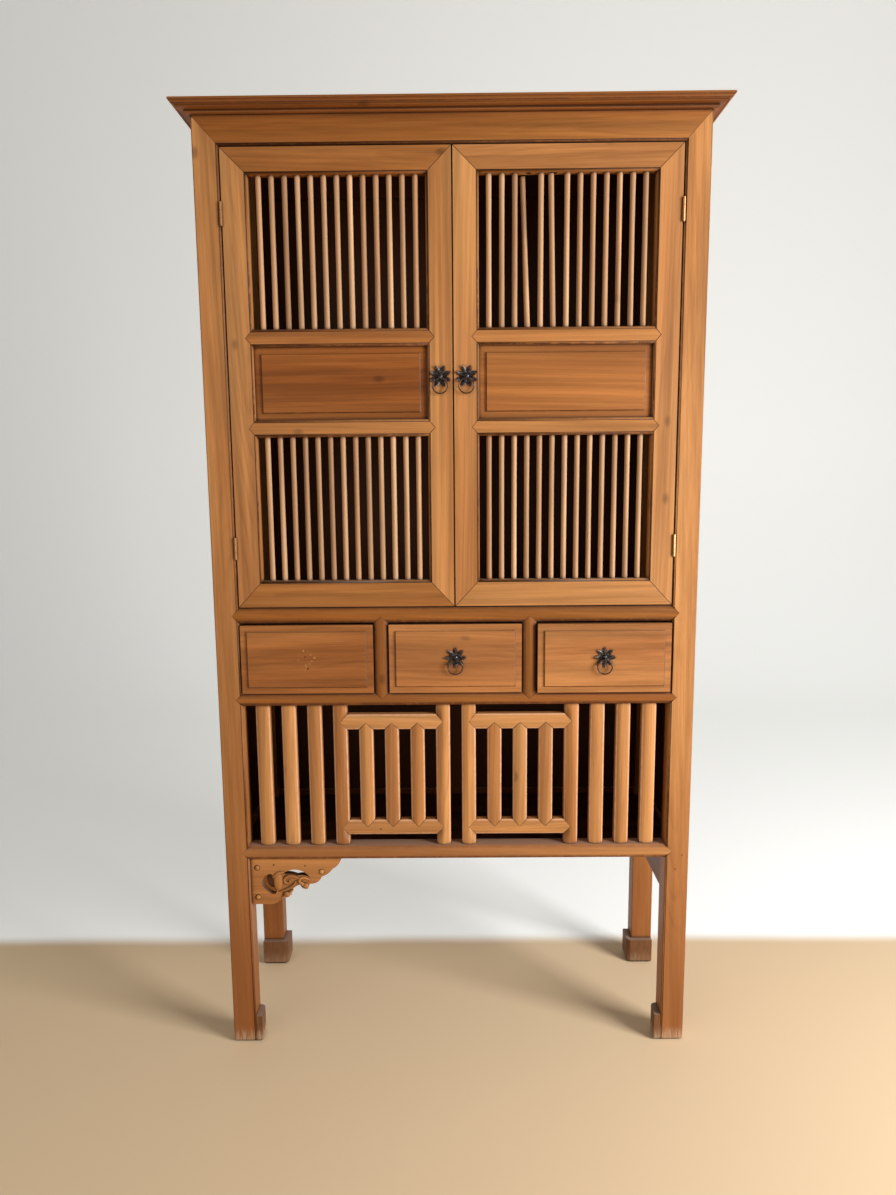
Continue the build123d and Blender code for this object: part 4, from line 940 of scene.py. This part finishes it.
class CABINET_OT_spandrel(bpy.types.Operator):
    """Cloud spandrel with its carved relief and its domed pegs"""

    bl_idname = "cabinet.spandrel"
    bl_label = "Carved spandrel"

    # Courses of places, as shares of the carving's length and drop, each with its share of the girth.
    STRANDS = (
        ((0.54, 0.45, 0.4), (0.50, 0.42, 0.9), (0.44, 0.385, 1), (0.395, 0.40, 1), (0.362, 0.46, 1),
         (0.372, 0.53, 1), (0.410, 0.55, 0.9), (0.437, 0.51, 0.8), (0.42, 0.47, 0.6)),
        ((0.655, 0.49, 0.4), (0.61, 0.435, 0.9), (0.565, 0.425, 1), (0.535, 0.46, 1), (0.53, 0.51, 1),
         (0.56, 0.55, 1.1), (0.60, 0.60, 1.3)),
        ((0.30, 0.73, 0.4), (0.35, 0.71, 1), (0.41, 0.66, 1.1), (0.46, 0.60, 1.1), (0.49, 0.54, 1),
         (0.49, 0.49, 0.6)),
        ((0.33, 0.86, 0.5), (0.36, 0.83, 1), (0.40, 0.80, 1.3), (0.43, 0.74, 1), (0.46, 0.68, 0.5)),
        ((0.24, 0.42, 0.5), (0.28, 0.34, 1), (0.33, 0.31, 1), (0.37, 0.315, 0.6)),
    )
    # Places of the domes, with their half widths across and up and their height, in millimetres.
    DOMES = (
        (0.598, 0.602, 7.0, 7.0, 5.0), (0.390, 0.786, 7.0, 7.0, 5.0), (0.303, 0.50, 10.0, 21.0, 3.2),
    )
    # Courses of the cuts between the strands: thin strands painted dark, painted shade in the grooves.
    CUTS = (
        ((0.44, 0.37, 0.6), (0.395, 0.345, 1), (0.368, 0.40, 1), (0.362, 0.47, 1), (0.385, 0.535, 1),
         (0.418, 0.545, 1), (0.434, 0.50, 0.8), (0.424, 0.455, 0.5)),
        ((0.62, 0.665, 0.5), (0.59, 0.67, 0.9), (0.552, 0.62, 1), (0.54, 0.55, 1), (0.548, 0.49, 0.5)),
        ((0.335, 0.80, 0.5), (0.355, 0.735, 1), (0.395, 0.705, 1), (0.432, 0.75, 1), (0.44, 0.80, 0.5)),
    )
    STRAND_RADIUS = 3.2 * MILLIMETRE
    CUT_GIRTH = 0.36
    # A dark dome sunk behind the carving, painted shade of the hollow: its place and depth, then its half
    # widths and height.
    HOLLOW, HOLLOW_DEPTH, HOLLOW_SIZE = (0.235, 0.47), 9 * MILLIMETRE, (13.0, 21.0, 2.5)
    PEG_HEAD = (5.2, 5.2, 3.0)
    # A thin dark ring round each peg head, its radius and width: painted shade at the head's foot and the
    # joint round it.
    PEG_SEAM, PEG_SEAM_WIDTH = 5.4 * MILLIMETRE, 0.8 * MILLIMETRE

    def execute(self, context):
        look = context.scene.cabinet_timber
        low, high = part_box("carved_spandrel")
        self.corner, self.size = Vector((low.x, low.y, high.z)), high - low
        timber("carved_spandrel", carved_elm(look), tone=0.1, spread=0.05, arris=look.arris)
        bm = bmesh.new()
        for course in self.STRANDS:
            self.strand(bm, course)
        for along, drop, wide, tall, proud in self.DOMES:
            self.dome(bm, self.at(along, drop), wide, tall, proud)
        self.finish_relief(bm, "carved_relief", look, -0.2)
        bm = bmesh.new()
        for course in self.CUTS:
            self.strand(bm, [(along, drop, self.CUT_GIRTH * girth) for along, drop, girth in course])
        self.dome(bm, self.at(*self.HOLLOW) + Vector((0, self.HOLLOW_DEPTH, 0)), *self.HOLLOW_SIZE)
        pegs = copy_of("spandrel_pegs")
        heads = bmesh.new()
        for board in boards_of(pegs):
            middle = sum((vert.co for vert in board), Vector()) / len(board)
            middle.y = self.corner.y
            self.dome(heads, middle, *self.PEG_HEAD)
            # A dark ring round the head: painted shade at its foot and the joint round it.
            shaded_seam = hoop(bm, self.PEG_SEAM, self.PEG_SEAM_WIDTH, 24, 6)
            bmesh.ops.translate(bm, verts=shaded_seam, vec=middle)
        pegs.free()
        # The cuts, the hollow and the rings round the pegs are painted dark: painted shade in the carving.
        self.finish_relief(bm, "cuts_and_hollow", look, 0.0, dark=0.8)
        stand_in(self.finish_relief(heads, "domed_pegs", look, 0.2), "frame_wood", "spandrel_pegs")
        return {"FINISHED"}

    def at(self, along, drop):
        """A place on the carving's face, in shares of its length and its drop."""
        return self.corner + Vector((along * self.size.x, 0, -drop * self.size.z))

    def finish_relief(self, bm, name, look, tone, dark=0.0):
        """Carved forms as one piece on the case; dark paints them as shade, by the share given."""
        bm.faces.layers.float.new("arris")
        inside = bm.faces.layers.float.new("inside")
        for face in bm.faces:
            face[inside] = dark
        lay_grain(bm, name, tone, 0.1)
        piece = place(bm, name, carved_elm(look), smooth_below=60.0, even=False)
        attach(piece, "case")
        return piece

    def dome(self, bm, centre, wide, tall, proud):
        """A shallow dome, its half sunk in the wood."""
        made = bmesh.ops.create_uvsphere(bm, u_segments=24, v_segments=12, radius=MILLIMETRE)["verts"]
        bmesh.ops.scale(bm, vec=(wide, proud, tall), verts=made)
        bmesh.ops.translate(bm, vec=centre, verts=made)

    def strand(self, bm, course):
        """A rounded strand along a course of places and girths, half sunk in the wood."""
        curve = bpy.data.curves.new("strand", "CURVE")
        curve.dimensions = "3D"
        curve.bevel_depth = self.STRAND_RADIUS
        curve.bevel_resolution = 4
        curve.use_fill_caps = True
        line = curve.splines.new("NURBS")
        line.points.add(len(course) - 1)
        for point, (along, drop, girth) in zip(line.points, course):
            point.co = (*self.at(along, drop), 1)
            point.radius = girth
        line.order_u = 3
        line.use_endpoint_u = True
        holder = bpy.data.objects.new("strand", curve)
        mesh = bpy.data.meshes.new_from_object(holder)
        bm.from_mesh(mesh)
        bpy.data.objects.remove(holder)
        bpy.data.curves.remove(curve)
        bpy.data.meshes.remove(mesh)


class CABINET_OT_pulls(bpy.types.Operator):
    """Iron rosettes of curled petals, each with an eye and a ring"""

    bl_idname = "cabinet.pulls"
    bl_label = "Pulls"

    # Each carrier of a pull, the share of a petal that its star is turned, and its share of the curl.
    CARRIERS = (
        ("left_door", 0.5, 1.0), ("right_door", 0.5, 1.0), ("middle_drawer", 0.0, 0.6),
        ("right_drawer", 0.0, 0.6),
    )
    SEAT = 0.4 * MILLIMETRE
    CURL = 1.2 * MILLIMETRE

    def execute(self, context):
        look = context.scene.cabinet_ironwork
        finish = blackened_iron(look)
        rusty = blackened_iron(look, "rusty iron", 0.12)
        for carrier, turn, lift in self.CARRIERS:
            low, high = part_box(f"{carrier}_ring")
            pivot = Vector(((low.x + high.x) / 2, (low.y + high.y) / 2, high.z - look.ring_wire))
            middle = pivot + Vector((0, look.eye_stand, look.eye_drop))
            bm = bmesh.new()
            tip = bm.verts.layers.float.new("tip")
            self.petals(bm, tip, look, turn, look.petal_lift * lift)
            self.boss(bm, look)
            self.eye(bm, look)
            bmesh.ops.translate(bm, verts=bm.verts[:], vec=middle)
            bmesh.ops.recalc_face_normals(bm, faces=bm.faces[:])
            piece = place(bm, f"{carrier}_iron_rosette", finish, smooth_below=50.0, even=False)
            stand_in(piece, "iron_pull", f"{carrier}_rosette")
            bm = bmesh.new()
            bm.verts.layers.float.new("tip")
            hoop(bm, look.ring_radius, look.ring_wire, 48, 10)
            bmesh.ops.translate(bm, verts=bm.verts[:], vec=pivot - Vector((0, 0, look.ring_radius)))
            piece = place(bm, f"{carrier}_iron_ring", rusty, even=False)
            stand_in(piece, "iron_pull", f"{carrier}_ring")
        return {"FINISHED"}

    def petals(self, bm, tip, look, turn, lift):
        """Leaf-shaped petals with a raised rib, curled forwards at their tips."""
        leaf = bmesh.ops.create_grid(bm, x_segments=4, y_segments=7, size=0.5)["verts"]
        for vert in leaf:
            across, along = 2 * vert.co.x, vert.co.y + 0.5
            girth = math.sin(math.pi * along ** 0.85) ** 0.75 if 0 < along < 1 else 0.0
            girth = max(girth, 0.45 * (1 - along)) + 0.02
            reach = look.petal_root + along * (look.petal_reach - look.petal_root)
            curl = self.CURL + lift * along ** 2.2 - self.CURL * abs(across) * girth
            vert.co = Vector((across * girth * look.petal_width / 2, -curl, reach))
            vert[tip] = max(0.0, along * 1.6 - 0.6)
        bmesh.ops.solidify(bm, geom=bm.faces[:], thickness=-look.petal_gauge)
        start = Matrix.Rotation(2 * math.pi * turn / look.petals, 3, "Y")
        bmesh.ops.rotate(bm, verts=bm.verts[:], cent=(0, 0, 0), matrix=start)
        bmesh.ops.spin(
            bm, geom=bm.verts[:] + bm.edges[:] + bm.faces[:], cent=(0, 0, 0), axis=(0, 1, 0), dvec=(0, 0, 0),
            angle=2 * math.pi * (look.petals - 1) / look.petals, steps=look.petals - 1, use_duplicate=True,
        )

    def boss(self, bm, look):
        """The dome in the middle."""
        made = bmesh.ops.create_uvsphere(bm, u_segments=20, v_segments=10, radius=look.boss_radius)["verts"]
        bmesh.ops.scale(bm, vec=(1, look.boss_height / look.boss_radius, 1), verts=made)

    def eye(self, bm, look):
        """The little loop that holds the ring, standing across it."""
        made = hoop(bm, look.eye_radius, look.eye_gauge, 20, 8)
        bmesh.ops.rotate(bm, verts=made, cent=(0, 0, 0), matrix=Matrix.Rotation(QUARTER_TURN, 3, "Z"))
        drop = look.eye_drop - 0.35 * look.eye_radius
        bmesh.ops.translate(bm, verts=made, vec=(0, self.SEAT - look.eye_stand, -drop))


def hoop(bm, radius, gauge, steps, sides):
    """A round wire bent into a closed ring in the XZ plane; gives its vertices."""
    before = set(bm.verts)
    wire = bmesh.ops.create_circle(bm, segments=sides, radius=gauge)["verts"]
    edges = list(dict.fromkeys(edge for vert in wire for edge in vert.link_edges))
    bmesh.ops.translate(bm, verts=wire, vec=(radius, 0, 0))
    bmesh.ops.spin(
        bm, geom=wire + edges, cent=(0, 0, 0), axis=(0, 1, 0), dvec=(0, 0, 0), angle=2 * math.pi, steps=steps,
        use_merge=True,
    )
    made = [vert for vert in bm.verts if vert not in before]
    faces = list(dict.fromkeys(face for vert in made for face in vert.link_faces))
    bmesh.ops.recalc_face_normals(bm, faces=faces)
    return made


class CABINET_OT_hinges(bpy.types.Operator):
    """Small brass butt hinges"""

    bl_idname = "cabinet.hinges"
    bl_label = "Hinges"

    def execute(self, context):
        look = context.scene.cabinet_ironwork
        finish = dull_brass(look)
        for node in ("hinge_frame_leaves", "hinge_pins", "left_door_hinge_leaves", "right_door_hinge_leaves"):
            piece = place(copy_of(node), f"{node}_brass", finish, even=False)
            stand_in(piece, "hinge_brass", node)
        return {"FINISHED"}


# ---------------------------------------------------------------- stage
class CABINET_OT_studio(bpy.types.Operator):
    """Pale floor and backdrop in one sweep, soft lamps and the camera"""

    bl_idname = "cabinet.studio"
    bl_label = "Studio"

    AIM = (0.0, 0.0, 0.9)
    # Each lamp's name, its power setting, its place, its size and its tint.
    LAMPS = (
        ("window lamp", "window_power", (2.4, -1.6, 1.4), (1.1, 1.7), (0.985, 0.985, 1.0)),
        ("fill lamp", "fill_power", (-1.8, -2.6, 1.6), (2.4, 2.4), (1.0, 0.93, 0.84)),
    )
    CAMERA_PLACE = (-0.0017, -1.8916, 1.2293)
    CAMERA_TURN = (81.5325, 0.4865, 0.3265)
    REACH = 7
    ROUNDING = 1.4

    def execute(self, context):
        look = context.scene.cabinet_studio
        self.sweep(look)
        for name, power, spot, size, tint in self.LAMPS:
            self.lamp(name, spot, size, getattr(look, power), tint)
        self.room(look)
        self.camera(context, look)
        context.scene.view_settings.view_transform = "Standard"
        return {"FINISHED"}

    def sweep(self, look):
        """A floor that curves up into the backdrop."""
        bm = bmesh.new()
        bmesh.ops.create_grid(bm, x_segments=1, y_segments=1, size=self.REACH)
        bmesh.ops.translate(bm, verts=bm.verts[:], vec=(0, -3.2, 0))
        rear = [edge for edge in bm.edges if all(vert.co.y > 3 for vert in edge.verts)]
        raised = bmesh.ops.extrude_edge_only(bm, edges=rear)["geom"]
        top = [item for item in raised if isinstance(item, bmesh.types.BMVert)]
        bmesh.ops.translate(bm, verts=top, vec=(0, 0, self.REACH))
        fold = [edge for edge in bm.edges if all(vert.co.y > 3 and vert.co.z < 1 for vert in edge.verts)]
        bmesh.ops.bevel(
            bm, geom=fold, offset=self.ROUNDING, segments=16, profile=0.5, affect="EDGES", material=-1
        )
        bmesh.ops.recalc_face_normals(bm, faces=bm.faces[:])
        material, tree, surface = blank("pale sweep")
        spot = place_on_piece(tree)
        parts = parts_of(tree, spot)
        rise = sums(tree, "MULTIPLY_ADD", cloud(tree, spot, 1.5, 3.0), 0.03, parts["Y"])
        wall = span(tree, rise, 0.235, 0.3)
        path = put(tree, "ShaderNodeLightPath").outputs
        seen = sums(tree, "MAXIMUM", path["Is Camera Ray"], path["Is Glossy Ray"])
        seen = sums(tree, "MAXIMUM", seen, path["Is Transmission Ray"])
        # Lifted less to the left than to the right: painted shade across the backdrop, brighter towards the
        # lamp on the right.
        glow_brighter_right = product(tree, wall, span(tree, parts["X"], -3.0, 3.0, look.wall_glow * 0.55, look.wall_glow))
        feed(tree, surface, {
            "Base Color": blend(tree, wall, look.floor, look.wall), "Roughness": 0.8,
            "Emission Color": look.wall, "Emission Strength": product(tree, seen, glow_brighter_right),
        })
        place(bm, "floor_and_backdrop", material, even=False)

    def lamp(self, name, spot, size, power, tint):
        """A soft rectangular lamp."""
        data = bpy.data.lights.new(name, "AREA")
        data.shape = "RECTANGLE"
        data.size, data.size_y = size
        data.energy = power
        data.color = tint
        lamp = bpy.data.objects.new(name, data)
        lamp.location = spot
        lamp.rotation_euler = (Vector(self.AIM) - Vector(spot)).to_track_quat("-Z", "Y").to_euler()
        bpy.context.scene.collection.objects.link(lamp)

    def room(self, look):
        """Even light from all round, seen by the camera and through glass as a pale room."""
        world = bpy.data.worlds.new("pale room")
        bpy.context.scene.world = world
        world.use_nodes = True
        tree = world.node_tree
        tree.nodes.clear()
        path = put(tree, "ShaderNodeLightPath").outputs
        seen = sums(tree, "MAXIMUM", path["Is Camera Ray"], path["Is Transmission Ray"])
        lit = put(tree, "ShaderNodeBackground", {"Color": ROOM_TINT, "Strength": look.room_light})
        shown = put(tree, "ShaderNodeBackground", {"Color": look.wall, "Strength": 1.0})
        mixed = put(tree, "ShaderNodeMixShader", {0: seen, 1: lit.outputs[0], 2: shown.outputs[0]})
        put(tree, "ShaderNodeOutputWorld", {"Surface": mixed.outputs[0]})

    def camera(self, context, look):
        """The camera stands a step in front and looks slightly down."""
        data = bpy.data.cameras.new("camera")
        data.lens = look.lens
        data.sensor_width = 36
        data.clip_start, data.clip_end = 0.05, 50
        camera = bpy.data.objects.new("camera", data)
        camera.location = self.CAMERA_PLACE
        camera.rotation_euler = [math.radians(angle) for angle in self.CAMERA_TURN]
        context.scene.collection.objects.link(camera)
        context.scene.camera = camera


OPERATORS = (
    CABINET_OT_posts,
    CABINET_OT_case_rails,
    CABINET_OT_case_panels,
    CABINET_OT_top_frame,
    CABINET_OT_inside,
    CABINET_OT_door_frames,
    CABINET_OT_door_panels,
    CABINET_OT_dowels,
    CABINET_OT_lattice,
    CABINET_OT_drawer_fronts,
    CABINET_OT_spandrel,
    CABINET_OT_nail_holes,
    CABINET_OT_pulls,
    CABINET_OT_hinges,
    CABINET_OT_studio,
)
GROUPS = (
    ("cabinet_timber", CabinetTimber),
    ("cabinet_ironwork", CabinetIronwork),
    ("cabinet_studio", CabinetStudio),
)


class CABINET_PT_panel(bpy.types.Panel):
    """Buttons for the cabinet's pieces and their settings"""

    bl_label = "Chinese book cabinet"
    bl_idname = "CABINET_PT_panel"
    bl_space_type = "VIEW_3D"
    bl_region_type = "UI"
    bl_category = "Cabinet"

    def draw(self, context):
        column = self.layout.column(align=True)
        for operator in OPERATORS:
            column.operator(operator.bl_idname)
        for name, group in GROUPS:
            box = self.layout.box()
            for setting in group.__annotations__:
                box.prop(getattr(context.scene, name), setting)


def register():
    """Registers the settings, the operators and the panel."""
    for name, group in GROUPS:
        bpy.utils.register_class(group)
        setattr(bpy.types.Scene, name, PointerProperty(type=group))
    for operator in OPERATORS:
        bpy.utils.register_class(operator)
    bpy.utils.register_class(CABINET_PT_panel)


def unregister():
    """Takes them away again."""
    bpy.utils.unregister_class(CABINET_PT_panel)
    for operator in reversed(OPERATORS):
        bpy.utils.unregister_class(operator)
    for name, group in reversed(GROUPS):
        delattr(bpy.types.Scene, name)
        bpy.utils.unregister_class(group)


def main():
    """Builds every piece and the stage."""
    register()
    for operator in OPERATORS:
        group, name = operator.bl_idname.split(".")
        getattr(getattr(bpy.ops, group), name)()


if __name__ == "__main__":
    main()
